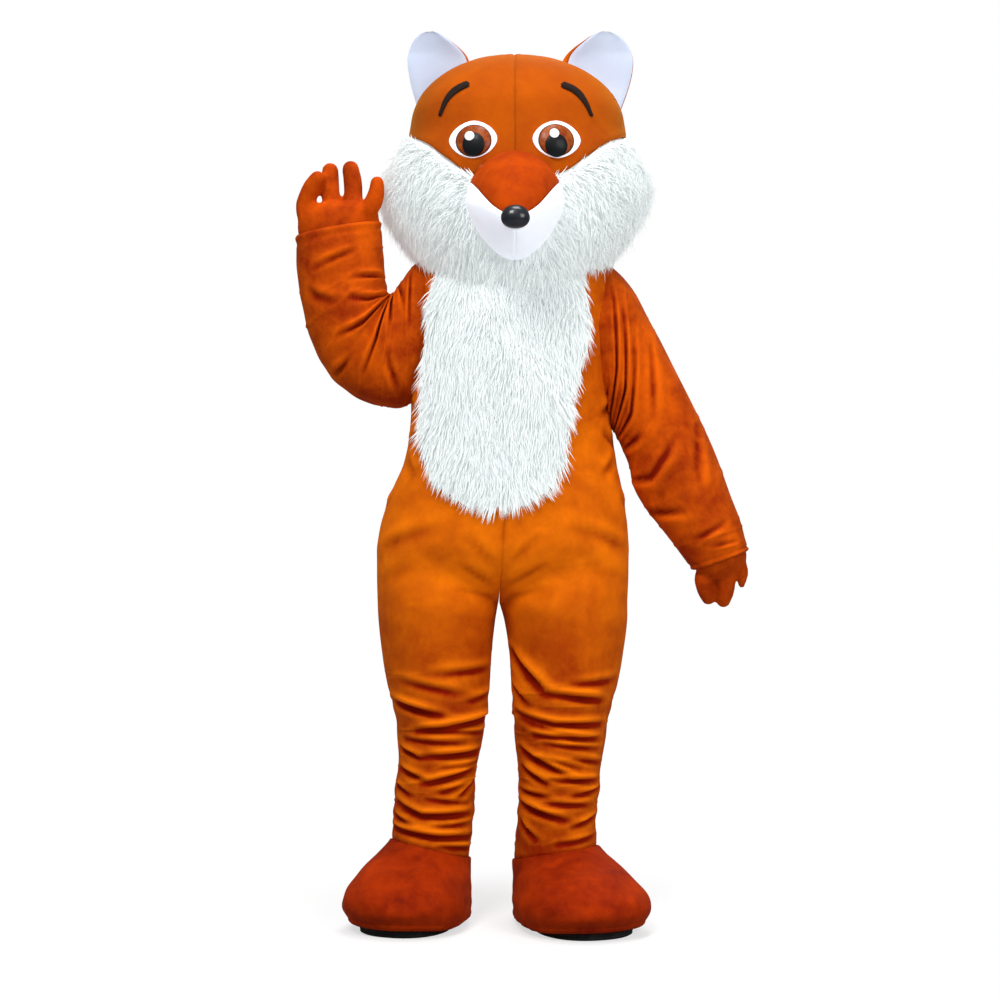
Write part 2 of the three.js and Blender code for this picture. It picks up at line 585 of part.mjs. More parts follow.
// The muzzle: rings from inside the face to the nose, each with its middle height and half sizes,
// and the angle above level where the orange top meets the white jaw.
const MUZZLE = [
  { out: 60, w: 96, tall: 105, h: 1460, split: 24 },
  { out: 200, w: 98, tall: 107, h: 1460, split: 24 },
  { out: 238, w: 93, tall: 101, h: 1457, split: 23 },
  { out: 272, w: 80, tall: 87, h: 1450, split: 21 },
  { out: 302, w: 63, tall: 68, h: 1441, split: 17 },
  { out: 327, w: 45, tall: 48, h: 1430, split: 13 },
  { out: 343, w: 29, tall: 31, h: 1421, split: 14 },
  { out: 352, w: 6, tall: 6, h: 1415, split: 15 },
];
const muzzle = curves(MUZZLE, 'out');
const MUZZLE_ROWS = 7;
const MUZZLE_ROOT = 120; // the walls begin this far out, inside the face
const MUZZLE_TIP = 352;
const CHIN_TAPER = 0.3; // how much narrower the muzzle is at the jaw's seam
const quarterWave = (share) => Math.sin((share * Math.PI) / 2);
const muzzleOut = (r, inset) => mix(MUZZLE_ROOT, MUZZLE_TIP - inset, quarterWave(r / MUZZLE_ROWS));

// Degrees run from the jaw's middle seam at the bottom (0) over one side to the top (180).
function muzzlePoint(side, degrees, out, inset) {
  const angle = THREE.MathUtils.degToRad(degrees);
  const shrink = out > MUZZLE_TIP - 7 - inset ? 0 : inset;
  const [w, tall] = ['w', 'tall'].map((way) => Math.max(2, muzzle[way](out + inset) - shrink));
  const narrow = 1 - CHIN_TAPER * Math.max(0, Math.cos(angle));
  return point(HEAD_X + side * w * Math.sin(angle) * narrow, -out, muzzle.h(out) - tall * Math.cos(angle));
}

function muzzleTop() {
  const columns = 8;
  const grid = (inset) => (r, c) => {
    const out = muzzleOut(r, inset);
    const split = 90 + muzzle.split(out);
    const degrees = mix(split, 360 - split, c / columns);
    const [side, round] = degrees <= 180 ? [-1, degrees] : [1, 360 - degrees];
    return muzzlePoint(side, round, out, inset).add(point(0, 0, SEAM / 2));
  };
  return wall(MUZZLE_ROWS, columns, grid(0), grid(HEAD_WALL));
}

function jawHalf(side) {
  const columns = 5;
  const grid = (inset) => (r, c) => {
    const out = muzzleOut(r, inset);
    const degrees = mix(0, 90 + muzzle.split(out), c / columns);
    return muzzlePoint(side, degrees, out, inset).add(point((side * SEAM) / 2, 0, -SEAM / 2));
  };
  return wall(MUZZLE_ROWS, columns, grid(0), grid(HEAD_WALL));
}

const muzzleBlock = (inset, from) => solid(loft(MUZZLE_ROWS, 20, (r, c) => {
  const out = r === 0 ? from : muzzleOut(r, inset);
  return muzzlePoint(1, (c / 20) * 360, out, inset);
}));

// The nose: a smooth oval ball let into the muzzle's tip.
const NOSE = { w: 28, tall: 23, deep: 19, out: 351, h: 1415, columns: 14, rows: 8 };
function noseBall() {
  return loft(NOSE.rows, NOSE.columns, (r, c) => {
    const down = (Math.PI * r) / NOSE.rows;
    const round = (2 * Math.PI * c) / NOSE.columns;
    return point(
      HEAD_X + NOSE.w * Math.sin(down) * Math.cos(round),
      -NOSE.out - NOSE.deep * Math.sin(down) * Math.sin(round), NOSE.h + NOSE.tall * Math.cos(down));
  });
}

// A patch on the face: an outline round a middle, lying from low to high above the surface.
function facePatch(middleX, middleH, outline, rings, spokes, low, high) {
  const ring = (lift) => (r, c) => {
    const share = r / rings;
    const angle = (c / spokes) * 2 * Math.PI;
    const reach = outline(angle) * share;
    const [x, h] = [middleX + reach * Math.cos(angle), middleH + reach * Math.sin(angle)];
    return facePoint(x, h, lift(share, x, h));
  };
  return wall(rings, spokes, ring(high), ring(low), true);
}

// The eyes: a white plush almond, a brown dome, a black pupil and a white glint.
const EYES = {
  left: { x: -66, irisX: -65, irisH: 1586, pupilX: -65, pupilH: 1577, glintX: -73, glintH: 1594 },
  right: { x: 100, irisX: 99, irisH: 1587, pupilX: 99, pupilH: 1575, glintX: 95, glintH: 1599 },
};
const EYE_H = 1589;
const EYE_HALF = { wide: 48, tall: 38 };
const EYE_POINTED = 1.75; // an ellipse would be 2, and less gives pointed corners
const IRIS_HALF = { wide: 36, tall: 33 };
const PUPIL_R = 21;
const GLINT_R = 9;
const WHITE_THICK = 2.5;
const IRIS_EDGE = 3;
const IRIS_RISE = 9;
const PRINT_THICK = 1.2;

// The reach of an oval at an angle: an almond where the power is under 2.
const oval = (half, power) => (angle) => {
  const [c, s] = [Math.abs(Math.cos(angle)) / half.wide, Math.abs(Math.sin(angle)) / half.tall];
  return (c ** power + s ** power) ** (-1 / power);
};

function addEye(name, eye) {
  const whiteHigh = (share) => SEAM + WHITE_THICK * (share > 0.99 ? 0.5 : 1);
  const white = facePatch(eye.x, EYE_H, oval(EYE_HALF, EYE_POINTED), 2, 16, () => -WHITE_THICK, whiteHigh);
  add(`eye_white_${name}`, cutBy(white, headFull), WHITE_PLUSH);
  const irisLow = () => 2 * SEAM + WHITE_THICK;
  const irisTop = (x, h) => {
    const share = clamp(Math.hypot((x - eye.irisX) / IRIS_HALF.wide, (h - eye.irisH) / IRIS_HALF.tall));
    return irisLow() + IRIS_EDGE + IRIS_RISE * (1 - share * share);
  };
  const dome = (share, x, h) => irisTop(x, h);
  const iris = facePatch(eye.irisX, eye.irisH, oval(IRIS_HALF, 2), 3, 14, irisLow, dome);
  add(`iris_${name}`, iris, IRIS_BROWN, EYE_GLOSS);
  const onDome = (lift) => (share, x, h) => irisTop(x, h) + lift;
  const [low, high] = [onDome(2 * SEAM), onDome(2 * SEAM + PRINT_THICK)];
  add(`pupil_${name}`, facePatch(eye.pupilX, eye.pupilH, () => PUPIL_R, 2, 12, low, high), BLACK, EYE_GLOSS);
  const [under, over] = [onDome(3 * SEAM + PRINT_THICK), onDome(3 * SEAM + 1.75 * PRINT_THICK)];
  const glint = facePatch(eye.glintX, eye.glintH, () => GLINT_R, 1, 10, under, over);
  add(`glint_${name}`, glint, WHITE, EYE_GLOSS);
}

// A brow: a felt strip along an arc over the eye, thin at its outer end.
const BROWS = {
  left: [
    { k: 0, x: -134, h: 1643 }, { k: 1, x: -121, h: 1674 },
    { k: 2, x: -102, h: 1695 }, { k: 3, x: -74, h: 1708 },
  ],
  right: [
    { k: 0, x: 172, h: 1642 }, { k: 1, x: 158, h: 1671 },
    { k: 2, x: 139, h: 1693 }, { k: 3, x: 110, h: 1706 },
  ],
};
const BROW_HALF = 7.2;
function browStrip(table) {
  const at = curves(table, 'k');
  const columns = 2;
  const length = 9;
  const grid = (high) => (r, c) => {
    const k = (r / length) * 3;
    const [dx, dh] = [at.x(k + 0.05) - at.x(k - 0.05), at.h(k + 0.05) - at.h(k - 0.05)];
    const size = Math.hypot(dx, dh) || 1;
    const share = (c / columns) * 2 - 1;
    const taper = 0.5 + 0.5 * ease(0, 2, k);
    const round = Math.sqrt(clamp(1 - ((r - length + 1) / 1.6) ** 2)) || 0.35;
    const half = BROW_HALF * taper * (r > length - 1.5 ? Math.max(0.45, round) : 1) * share;
    const lift = high ? SEAM + 1.2 + 3 * (1 - share * share) : SEAM;
    return facePoint(at.x(k) - (half * dh) / size, at.h(k) + (half * dx) / size, lift);
  };
  return wall(length, columns, grid(true), grid(false));
}

// The ears: a padded orange back and a white front, each row a rung across from the inner edge to the
// outer one, measured from the head's middle.
const EAR = [
  { h: 1680, inner: 122, outer: 198 },
  { h: 1730, inner: 105, outer: 213 },
  { h: 1765, inner: 97, outer: 220 },
  { h: 1790, inner: 101, outer: 222 },
  { h: 1810, inner: 118, outer: 219 },
  { h: 1829, inner: 142, outer: 211 },
  { h: 1840, inner: 158, outer: 200 },
  { h: 1846, inner: 170, outer: 188 },
];
const EARS = {
  left: { side: -1, shift: 0, stretch: 1, rim: 7 },
  right: { side: 1, shift: 14, stretch: 1.09, rim: 17 },
};
const EAR_SEAM = 1.2; // the front is stitched on along its edge only
const EAR_BOTTOM = 1680;
const EAR_TOP = 1846;
const EAR_Y = -6;
const EAR_TURN = 26; // how far the inner edge stands forward of the outer one
const EAR_CUP = 9;
const EAR_BACK = 30;
const EAR_FRONT = 4;
const ear = curves(EAR, 'h');
const EAR_ROWS = 6;
const EAR_COLUMNS = 4;

function earPlace(which, r, c, rim) {
  const h = mix(EAR_BOTTOM, EAR_TOP, Math.sin(((r / EAR_ROWS) * Math.PI) / 2));
  const share = c / EAR_COLUMNS;
  const narrow = rim * clamp((EAR_TOP + 3 - h) / 90);
  const across = mix(ear.inner(h) - narrow, ear.outer(h), share * which.stretch);
  const front = EAR_Y - EAR_TURN * (0.5 - share) + EAR_CUP * 4 * share * (1 - share);
  const up = (h - EAR_BOTTOM) / (EAR_TOP - EAR_BOTTOM);
  return { x: HEAD_X + which.side * (across + which.shift), h, front, share, up };
}
function earBack(which) {
  const outside = (r, c) => {
    const { x, h, front, share, up } = earPlace(which, r, c, which.rim);
    const bulge = 4 + EAR_BACK * Math.sqrt(Math.max(0, 4 * share * (1 - share))) * (1 - 0.75 * up * up);
    return point(x, front + bulge, h);
  };
  const inside = (r, c) => {
    const { x, h, front } = earPlace(which, r, c, which.rim);
    return point(x, front, h);
  };
  return wall(EAR_ROWS, EAR_COLUMNS, outside, inside);
}
function earFront(which) {
  const grid = (off) => (r, c) => {
    const { x, h, front } = earPlace(which, r, c, 0);
    return point(x, front - EAR_SEAM - off, h);
  };
  return wall(EAR_ROWS, EAR_COLUMNS, grid(EAR_FRONT), grid(0));
}

// Gloves: a palm with three fingers and a thumb, and the same again smaller for the hollow.
const GLOVES = {
  raised: {
    palm: [
      { x: -336, y: -77, h: 1345, wide: 68, deep: 46 },
      { x: -338, y: -82, h: 1390, wide: 77, deep: 49 },
      { x: -341, y: -87, h: 1428, wide: 83, deep: 47 },
      { x: -342, y: -95, h: 1448, wide: 82, deep: 39 },
      { x: -340, y: -100, h: 1464, wide: 79, deep: 31 },
      { x: -339, y: -102, h: 1478, wide: 66, deep: 20 },
    ],
    tilt: 0.16,
    digits: [
      {
        name: 'little',
        path: [
          [-404, -98, 1440], [-409, -98, 1470], [-402, -102, 1492], [-393, -110, 1510], [-382, -119, 1524],
        ],
        r: [19, 19, 19, 18, 16],
      },
      {
        name: 'middle',
        path: [[-352, -98, 1445], [-352, -98, 1472], [-357, -96, 1495], [-359, -95, 1518], [-358, -96, 1543]],
        r: [20, 20, 19, 19, 17],
      },
      {
        name: 'index',
        path: [[-312, -99, 1445], [-311, -99, 1474], [-311, -97, 1496], [-312, -97, 1521], [-316, -98, 1547]],
        r: [20, 20, 19, 19, 17],
      },
      {
        name: 'thumb',
        path: [
          [-303, -98, 1444], [-283, -108, 1460], [-270, -114, 1476], [-263, -119, 1495], [-261, -121, 1515],
        ],
        r: [17, 19, 19, 17, 14],
      },
    ],
  },
  lowered: {
    palm: [
      { x: 402, y: -36, h: 818, wide: 56, deep: 46 },
      { x: 424, y: -39, h: 779, wide: 54, deep: 46 },
      { x: 442, y: -42, h: 751, wide: 52, deep: 45 },
      { x: 445, y: -41, h: 733, wide: 49, deep: 36 },
      { x: 443, y: -38, h: 719, wide: 43, deep: 27 },
      { x: 441, y: -36, h: 707, wide: 32, deep: 18 },
    ],
    tilt: 0.45,
    digits: [
      {
        name: 'index',
        path: [[424, -40, 748], [408, -41, 718], [409, -40, 700], [413, -34, 684], [418, -26, 671]],
        r: [16, 19, 19, 17, 14],
      },
      {
        name: 'middle',
        path: [[450, -42, 740], [452, -42, 716], [453, -41, 697], [451, -37, 681], [449, -30, 667]],
        r: [18, 19, 19, 18, 15],
      },
      {
        name: 'little',
        path: [[470, -40, 758], [479, -42, 742], [485, -44, 727], [486, -44, 713], [485, -42, 699]],
        r: [15, 16, 14, 11, 7],
      },
      {
        name: 'thumb',
        path: [[436, -26, 752], [429, -12, 726], [420, 3, 712], [414, 12, 700], [415, 14, 688]],
        r: [15, 16, 16, 15, 12],
      },
    ],
  },
};
const PALM_COLUMNS = 12;
const PALM_STEPS = 6;
const PALM_HOLLOW_STEPS = 4;

function palmBlock(glove, inset, ends) {
  const table = glove.palm.map((row, k) => ({ k, ...row }));
  const at = curves(table, 'k');
  const last = table.length - 1;
  const steps = inset ? PALM_HOLLOW_STEPS : PALM_STEPS;
  return solid(loft(steps, PALM_COLUMNS, (r, c) => {
    const k = mix(-ends, last - (inset ? 0.25 : 0), r / steps);
    const angle = (c / PALM_COLUMNS) * 2 * Math.PI;
    const [wide, deep] = [at.wide(k) - inset, at.deep(k) - inset];
    const x = wide * Math.cos(angle);
    const slope = glove.tilt * x * clamp(1.2 - k / last);
    const below = k < 0 ? (table[0].h - table[1].h) * -k * 0.2 : 0;
    return point(at.x(k) + x, at.y(k) - deep * Math.sin(angle), at.h(k) + slope + below);
  }));
}

// A finger as rings along its path, closed by a round tip.
function digitBlock(digit, inset, columns) {
  const table = digit.path.map(([x, y, h], k) => ({ k, x, y, h, r: digit.r[k] }));
  const at = curves(table, 'k');
  const last = table.length - 1;
  const spots = inset ? [0, 1.5, 3, last] : [0, 1, 2, 3, last];
  const caps = inset ? [0.7] : [0.6, 0.92];
  const rings = spots.map((k) => ({ k, size: at.r(k) - inset, on: 0 }));
  const tip = at.r(last) - inset;
  for (const cap of caps) rings.push({ k: last, size: tip * Math.sqrt(1 - cap * cap), on: cap * tip });
  return solid(loft(rings.length - 1, columns, (r, c) => {
    const { k, size, on } = rings[r];
    const [before, after] = [Math.max(0, k - 0.2), Math.min(last, k + 0.2)];
    const place = (spot) => point(at.x(spot), at.y(spot), at.h(spot));
    const along = place(after).sub(place(before)).normalize();
    const side = point(0, 1, 0).cross(along).normalize();
    const up = along.clone().cross(side);
    const angle = (c / columns) * 2 * Math.PI;
    return place(k).addScaledVector(along, on)
      .addScaledVector(side, size * Math.cos(angle)).addScaledVector(up, size * Math.sin(angle));
  }));
}

// The glove's cuff goes up the sleeve and presses against it.
function gloveSolid(arm) {
  const glove = GLOVES[arm];
  const grown = [sleeveGrid(arm, -SEAM), sleeveGrid(arm, CLOTH + SEAM)];
  const sleeve = solid(wall(SLEEVE_ROWS.length - 1, SLEEVE_COLUMNS, ...grown, true));
  const joined = (inset, columns, ends) => glove.digits.reduce(
    (all, digit) => all.add(digitBlock(digit, inset, columns)), palmBlock(glove, inset, ends));
  return joined(0, 9, 0).subtract(joined(GLOVE_CLOTH, 6, 0.3)).subtract(sleeve);
}

// Shoe covers. Round the ankle, share 0 is the leg's edge and share 1 the sole's outline.
const SHOES = {
  left: { x: -169, y: 8, turn: -20, size: 1.02 },
  right: { x: 117, y: -4, turn: 21, size: 1.09 },
};
const SHOE_OUTLINE = { toe: 232, heel: 118, wide: 122, forward: 0.42, heelWide: 0.76, roundness: 0.88 };
const SOLE_INSET = 32; // the plush swells out over the sole by this much
const SHOE_ROWS = [
  { share: 0, up: 0 }, { share: 0.9, up: 0.1 }, { share: 1, up: 0.25 }, { share: 0.96, up: 0.41 },
  { share: 0.78, up: 0.58 }, { share: 0.46, up: 0.78 }, { share: 0.02, up: 1 },
];
const SHOE_COLUMNS = 20;
const HEM_GAP = 4; // the shoe cover meets the leg this far outside the hem
const COLLAR = { top: 214, inset: 12 }; // the shoe cover's collar stands inside the leg
const soleTop = (forward) => 7 + 8 * ease(0.15, 0.95, forward);

// The shoe cover's outline at an angle round the ankle, moved in: an egg that is wide at the toes.
function solePoint(side, angle, inset) {
  const shoe = SHOES[side];
  const [c, s] = [Math.cos(angle), Math.sin(angle)];
  const forward = SHOE_OUTLINE.forward * SHOE_OUTLINE.toe;
  const wide = SHOE_OUTLINE.wide * (s > 0 ? 1 : mix(SHOE_OUTLINE.heelWide, 1, 1 + s)) - inset;
  const long = (s > 0 ? SHOE_OUTLINE.toe - forward : SHOE_OUTLINE.heel + forward) - inset;
  const x = wide * Math.sign(c) * Math.abs(c) ** SHOE_OUTLINE.roundness;
  const y = -forward - long * Math.sign(s) * Math.abs(s) ** SHOE_OUTLINE.roundness;
  const turn = THREE.MathUtils.degToRad(shoe.turn);
  return point(
    shoe.x + shoe.size * (x * Math.cos(turn) - y * Math.sin(turn)),
    shoe.y + shoe.size * (x * Math.sin(turn) + y * Math.cos(turn)), soleTop(Math.max(0, s)));
}

// The angle round the ankle that faces a point of the sole's outline.
function ankleAngle(side, angle) {
  const at = legs[side];
  const edge = solePoint(side, angle, 0);
  const middle = (at.inner(HEM_HEIGHT) + at.outer(HEM_HEIGHT)) / 2;
  return Math.atan2(at.y(HEM_HEIGHT) - edge.y, edge.x - middle);
}

// The leg's section at a height, moved out by grow.
function ankleRing(side, angle, h, grow) {
  const at = legs[side];
  const [inner, outer] = [at.inner(h), at.outer(h)];
  const [c, s] = [Math.cos(angle), Math.sin(angle)];
  const half = Math.abs(outer - inner) / 2 + grow;
  const depth = (s > 0 ? at.front(h) : at.back(h)) + grow;
  return point((inner + outer) / 2 + half * c, at.y(h) - depth * s, h);
}

// The same ring at the foot of the leg, at the height where the hem meets the shoe cover.
function hemRing(side, angle, grow) {
  const made = ankleRing(side, angle, HEM_HEIGHT, grow);
  const toOuter = (1 + (side === 'left' ? -1 : 1) * Math.cos(angle)) / 2;
  made.z = ankleTop(side, Math.sin(angle) > 0 ? -1 : 1, clamp(toOuter));
  return made;
}

// A point of the shoe cover's outside, or of its inside, a wall's thickness in.
function shoePoint(side, angle, r, thick, grow) {
  const out = grow - thick;
  if (r === 0) return solePoint(side, angle, SOLE_INSET - out).add(point(0, 0, 4 * SEAM - grow));
  const { share, up } = SHOE_ROWS[r];
  const hem = hemRing(side, ankleAngle(side, angle), HEM_GAP + out);
  const edge = solePoint(side, angle, -out);
  const made = hem.clone().lerp(edge, share);
  made.z = mix(edge.z, hem.z, up) + SEAM - thick * up ** 1.2 + grow;
  return made;
}

function shoeUpper(side) {
  const last = SHOE_ROWS.length - 1;
  const grid = (thick) => (r, c) => {
    const angle = (c / SHOE_COLUMNS) * 2 * Math.PI;
    if (r <= last) return shoePoint(side, angle, r, thick, 0);
    const inset = COLLAR.inset + (thick ? CLOTH : 0);
    const facing = ankleAngle(side, angle);
    if (r > last + 1) return ankleRing(side, facing, COLLAR.top, -inset);
    const foot = hemRing(side, facing, -inset);
    foot.z -= thick;
    return foot;
  };
  return wall(last + 2, SHOE_COLUMNS, grid(0), grid(SHOE_WALL), true);
}

// The shoe cover filled in below the hem, grown by a little, to cut the leg to length.
function shoeBlock(side, grow) {
  const last = SHOE_ROWS.length - 1;
  return solid(loft(last + 1, SHOE_COLUMNS, (r, c) => {
    const angle = (c / SHOE_COLUMNS) * 2 * Math.PI;
    if (r <= last) return shoePoint(side, angle, r, 0, grow);
    const foot = hemRing(side, ankleAngle(side, angle), -COLLAR.inset);
    foot.z += grow;
    return foot;
  }));
}

// The rubber sole: rings from its rounded lower edge up.
const SOLE_RINGS = [{ inset: 4, up: 0 }, { inset: 0, up: 0.3 }, { inset: 0, up: 1 }];
function soleSlab(side) {
  return loft(SOLE_RINGS.length - 1, SHOE_COLUMNS, (r, c) => {
    const edge = solePoint(side, (c / SHOE_COLUMNS) * 2 * Math.PI, SOLE_INSET + SOLE_RINGS[r].inset);
    edge.z *= SOLE_RINGS[r].up;
    return edge;
  });
}

// The concealed zip's tape, along the middle of the back.
const ZIP = { half: 6, thick: 1.5, firstRow: 1, lastRow: 9 };
function zipTape(grow) {
  const grid = (lift) => (r, c) => {
    const h = TORSO_ROWS[ZIP.firstRow + r];
    return point(torso.seam(h) + (ZIP.half + grow) * (c - 1), torso.back(h) + lift, h);
  };
  return wall(ZIP.lastRow - ZIP.firstRow, 2, grid(2 * SEAM + ZIP.thick + grow), grid(2 * SEAM - grow));
}

// Putting it together

const PANELS = [
  { name: 'front_left', side: 'left', face: -1 },
  { name: 'front_right', side: 'right', face: -1 },
  { name: 'back_left', side: 'left', face: 1 },
  { name: 'back_right', side: 'right', face: 1 },
];
const ARMS = { left: 'raised', right: 'lowered' };
const torsoFull = torsoBlock(SEAM);
for (const { name, side, face } of PANELS) {
  add(name, cutBy(bodyPanel(side, face), armhole(ARMS[side]), shoeBlock(side, SEAM)), ORANGE);
}
for (const side of ['left', 'right']) {
  const arm = ARMS[side];
  const walls = [sleeveGrid(arm, 0), sleeveGrid(arm, CLOTH)];
  const sleeve = wall(SLEEVE_ROWS.length - 1, SLEEVE_COLUMNS, ...walls, true);
  add(`sleeve_${side}`, cutBy(sleeve, torsoFull), ORANGE);
  add(`glove_${side}`, largest(gloveSolid(arm)), RUST);
  add(`shoe_${side}`, shoeUpper(side), RUST);
  add(`sole_${side}`, soleSlab(side), BLACK, 0.6);
}
const arms = [upperArm('raised'), upperArm('lowered')];
add('bib', largest(without(bibSolid(0), arms)), WHITE_FUR);
add('back_zip', zipTape(0), RUST);

const headFull = headBlock(SEAM);
const muzzleHollow = muzzleBlock(HEAD_WALL, 60);
const beneath = [torsoFull, ...arms];
for (const [name, side] of [['left', -1], ['right', 1]]) {
  const cheek = lowerPanel(side, 0, CHEEK_COLUMNS, FUR_WALL);
  const back = lowerPanel(side, CHEEK_COLUMNS, CROWN_COLUMNS, HEAD_WALL);
  add(`crown_${name}`, cutBy(crownHalf(side), muzzleHollow), ORANGE);
  add(`cheek_${name}`, cutBy(cheek, muzzleHollow, bibSolid(SEAM), ...beneath), WHITE_FUR);
  add(`head_back_${name}`, cutBy(back, solid(zipTape(SEAM)), ...beneath), ORANGE);
  add(`jaw_${name}`, cutBy(jawHalf(side), headFull), WHITE_PLUSH);
  add(`ear_back_${name}`, cutBy(earBack(EARS[name]), headFull), ORANGE);
  add(`ear_front_${name}`, cutBy(earFront(EARS[name]), headFull), WHITE_PLUSH);
  add(`brow_${name}`, browStrip(BROWS[name]), BROW_BROWN);
  addEye(name, EYES[name]);
}
add('muzzle_top', cutBy(muzzleTop(), headFull), ORANGE);
add('nose', cutBy(noseBall(), muzzleBlock(-2 * SEAM, 120)), BLACK, 0.12);

export default costume;
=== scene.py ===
from math import pi, radians

import bmesh
import bpy
import numpy as np
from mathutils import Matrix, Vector


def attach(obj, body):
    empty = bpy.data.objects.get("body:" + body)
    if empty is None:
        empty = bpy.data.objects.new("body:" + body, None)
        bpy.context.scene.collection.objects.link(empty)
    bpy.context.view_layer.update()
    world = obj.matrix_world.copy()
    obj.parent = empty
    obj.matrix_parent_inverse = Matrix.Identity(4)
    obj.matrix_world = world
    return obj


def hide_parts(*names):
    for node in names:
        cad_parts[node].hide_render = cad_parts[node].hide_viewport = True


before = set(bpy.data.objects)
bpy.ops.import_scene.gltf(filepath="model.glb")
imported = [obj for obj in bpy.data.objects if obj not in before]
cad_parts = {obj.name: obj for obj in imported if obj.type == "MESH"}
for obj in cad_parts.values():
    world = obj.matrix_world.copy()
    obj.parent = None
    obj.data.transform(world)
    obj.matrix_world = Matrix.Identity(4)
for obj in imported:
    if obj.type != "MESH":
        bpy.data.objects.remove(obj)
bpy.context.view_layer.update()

# The jumpsuit's body: four panels of short orange plush, each from the neck to the leg's hem, sewn
# together along the centre front, the centre back, the sides and the inseams. Lengths in the tables
# are in millimetres, and heights (h) are above the floor.
SHOULDER_HEIGHT = 1360  # of the frame's origin
CLOTH = 3.0  # the plush on its backing
NECK, HIP, CROTCH, LEG_END = 1382, 790, 660, 264
TORSO_SQUARENESS = 2.35  # the power of the torso's superellipse
TORSO_AROUND, LEG_AROUND = 360, 262  # half way round the torso, and round a leg
SIDE = {"left": -1, "right": 1}
FACE = {"front": -1, "back": 1}


def ease(low, high, x):
    """A smooth step from 0 at low to 1 at high."""
    t = np.clip((x - low) / (high - low), 0, 1)
    return t * t * (3 - 2 * t)


def mix(a, b, t):
    """A straight mix of a and b."""
    return a + (b - a) * t


def curve(at, value):
    """A smooth line through the points: cubic pieces, whose slope at a point is that between the points
    beside it."""
    at, value = np.asarray(at, float), np.asarray(value, float)
    before = np.maximum(np.arange(len(at)) - 1, 0)
    after = np.minimum(np.arange(len(at)) + 1, len(at) - 1)
    slope = (value[after] - value[before]) / (at[after] - at[before])

    def line(x):
        x = np.clip(x, at[0], at[-1])
        k = np.clip(np.searchsorted(at, x, side="right") - 1, 0, len(at) - 2)
        d = at[k + 1] - at[k]
        t = (x - at[k]) / d
        return (
            (2 * t**3 - 3 * t**2 + 1) * value[k]
            + (t**3 - 2 * t**2 + t) * d * slope[k]
            + (3 * t**2 - 2 * t**3) * value[k + 1]
            + (t**3 - t**2) * d * slope[k + 1]
        )

    return line


def curves(names, rows):
    """A table of sections as smooth lines over its first column, one for each other column."""
    rows = np.array(rows, float)
    return {name: curve(rows[:, 0], rows[:, i + 1]) for i, name in enumerate(names)}


def stack(x, y, h):
    """Points from their coordinates."""
    return np.stack(np.broadcast_arrays(x, y, h), -1).astype(float)


def bell(x, width):
    """A smooth bump: 1 where x is 0, and almost nothing at twice the width."""
    return np.exp(-((x / width) ** 2))


def unit(way):
    """Directions brought to length 1."""
    return way / np.maximum(np.linalg.norm(way, axis=-1, keepdims=True), 1e-9)


def grid_faces(rows, columns, loop=False):
    """Quads over a grid of points, row by row; a loop's last column is joined to its first."""
    r = np.arange(rows - 1)[:, None] * columns
    c = np.arange(columns if loop else columns - 1)[None, :]
    n = (c + 1) % columns
    return np.stack([r + c, r + n, r + columns + n, r + columns + c], -1).reshape(-1, 4)


def turned_out(points, faces):
    """Faces turned outwards, by the sign of the volume that they close."""
    a, b, c, d = (points[faces[:, k]] for k in (0, 1, 2, -1))
    volume = np.sum(a * np.cross(b, c)) + np.sum(a * np.cross(c, d))
    return faces[:, ::-1] if volume < 0 else faces


def make_piece(name, points, faces, weld=False):
    """A mesh in metres at the frame's place, with its faces turned outwards."""
    place = (points.reshape(-1, 3) - (0, 0, SHOULDER_HEIGHT)) / 1000
    mesh = bpy.data.meshes.new(name)
    mesh.from_pydata(place.tolist(), [], turned_out(place, faces).tolist())
    if weld:
        soft = bmesh.new()
        soft.from_mesh(mesh)
        bmesh.ops.remove_doubles(soft, verts=soft.verts, dist=1e-6)
        soft.to_mesh(mesh)
        soft.free()
    mesh.polygons.foreach_set("use_smooth", np.ones(len(mesh.polygons), bool))
    mesh.update()
    piece = bpy.data.objects.new(name, mesh)
    bpy.context.collection.objects.link(piece)
    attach(piece, "root")
    return piece


def normals_of(points, loop=False):
    """Unit normals of a grid, from the differences between its neighbouring points, pointing out."""
    if loop:
        across = np.roll(points, -1, 1) - np.roll(points, 1, 1)
    else:
        across = np.gradient(points, axis=1)
    normal = np.cross(np.gradient(points, axis=0), across)
    length = np.linalg.norm(normal, axis=-1, keepdims=True)
    normal = normal / np.maximum(length, 1e-9)
    for row, beside in ((0, 1), (-1, -2)):
        if length[row].max() < 1e-6:
            mean = normal[beside].mean(0)
            normal[row] = mean / np.linalg.norm(mean)
    middle = points.reshape(-1, 3).mean(0)
    return normal * np.sign(np.sum(normal * (points - middle)))


def mark(piece, name, values):
    """Gives each point of a piece a number that its material reads."""
    piece.data.attributes.new(name, "FLOAT", "POINT").data.foreach_set("value", values)


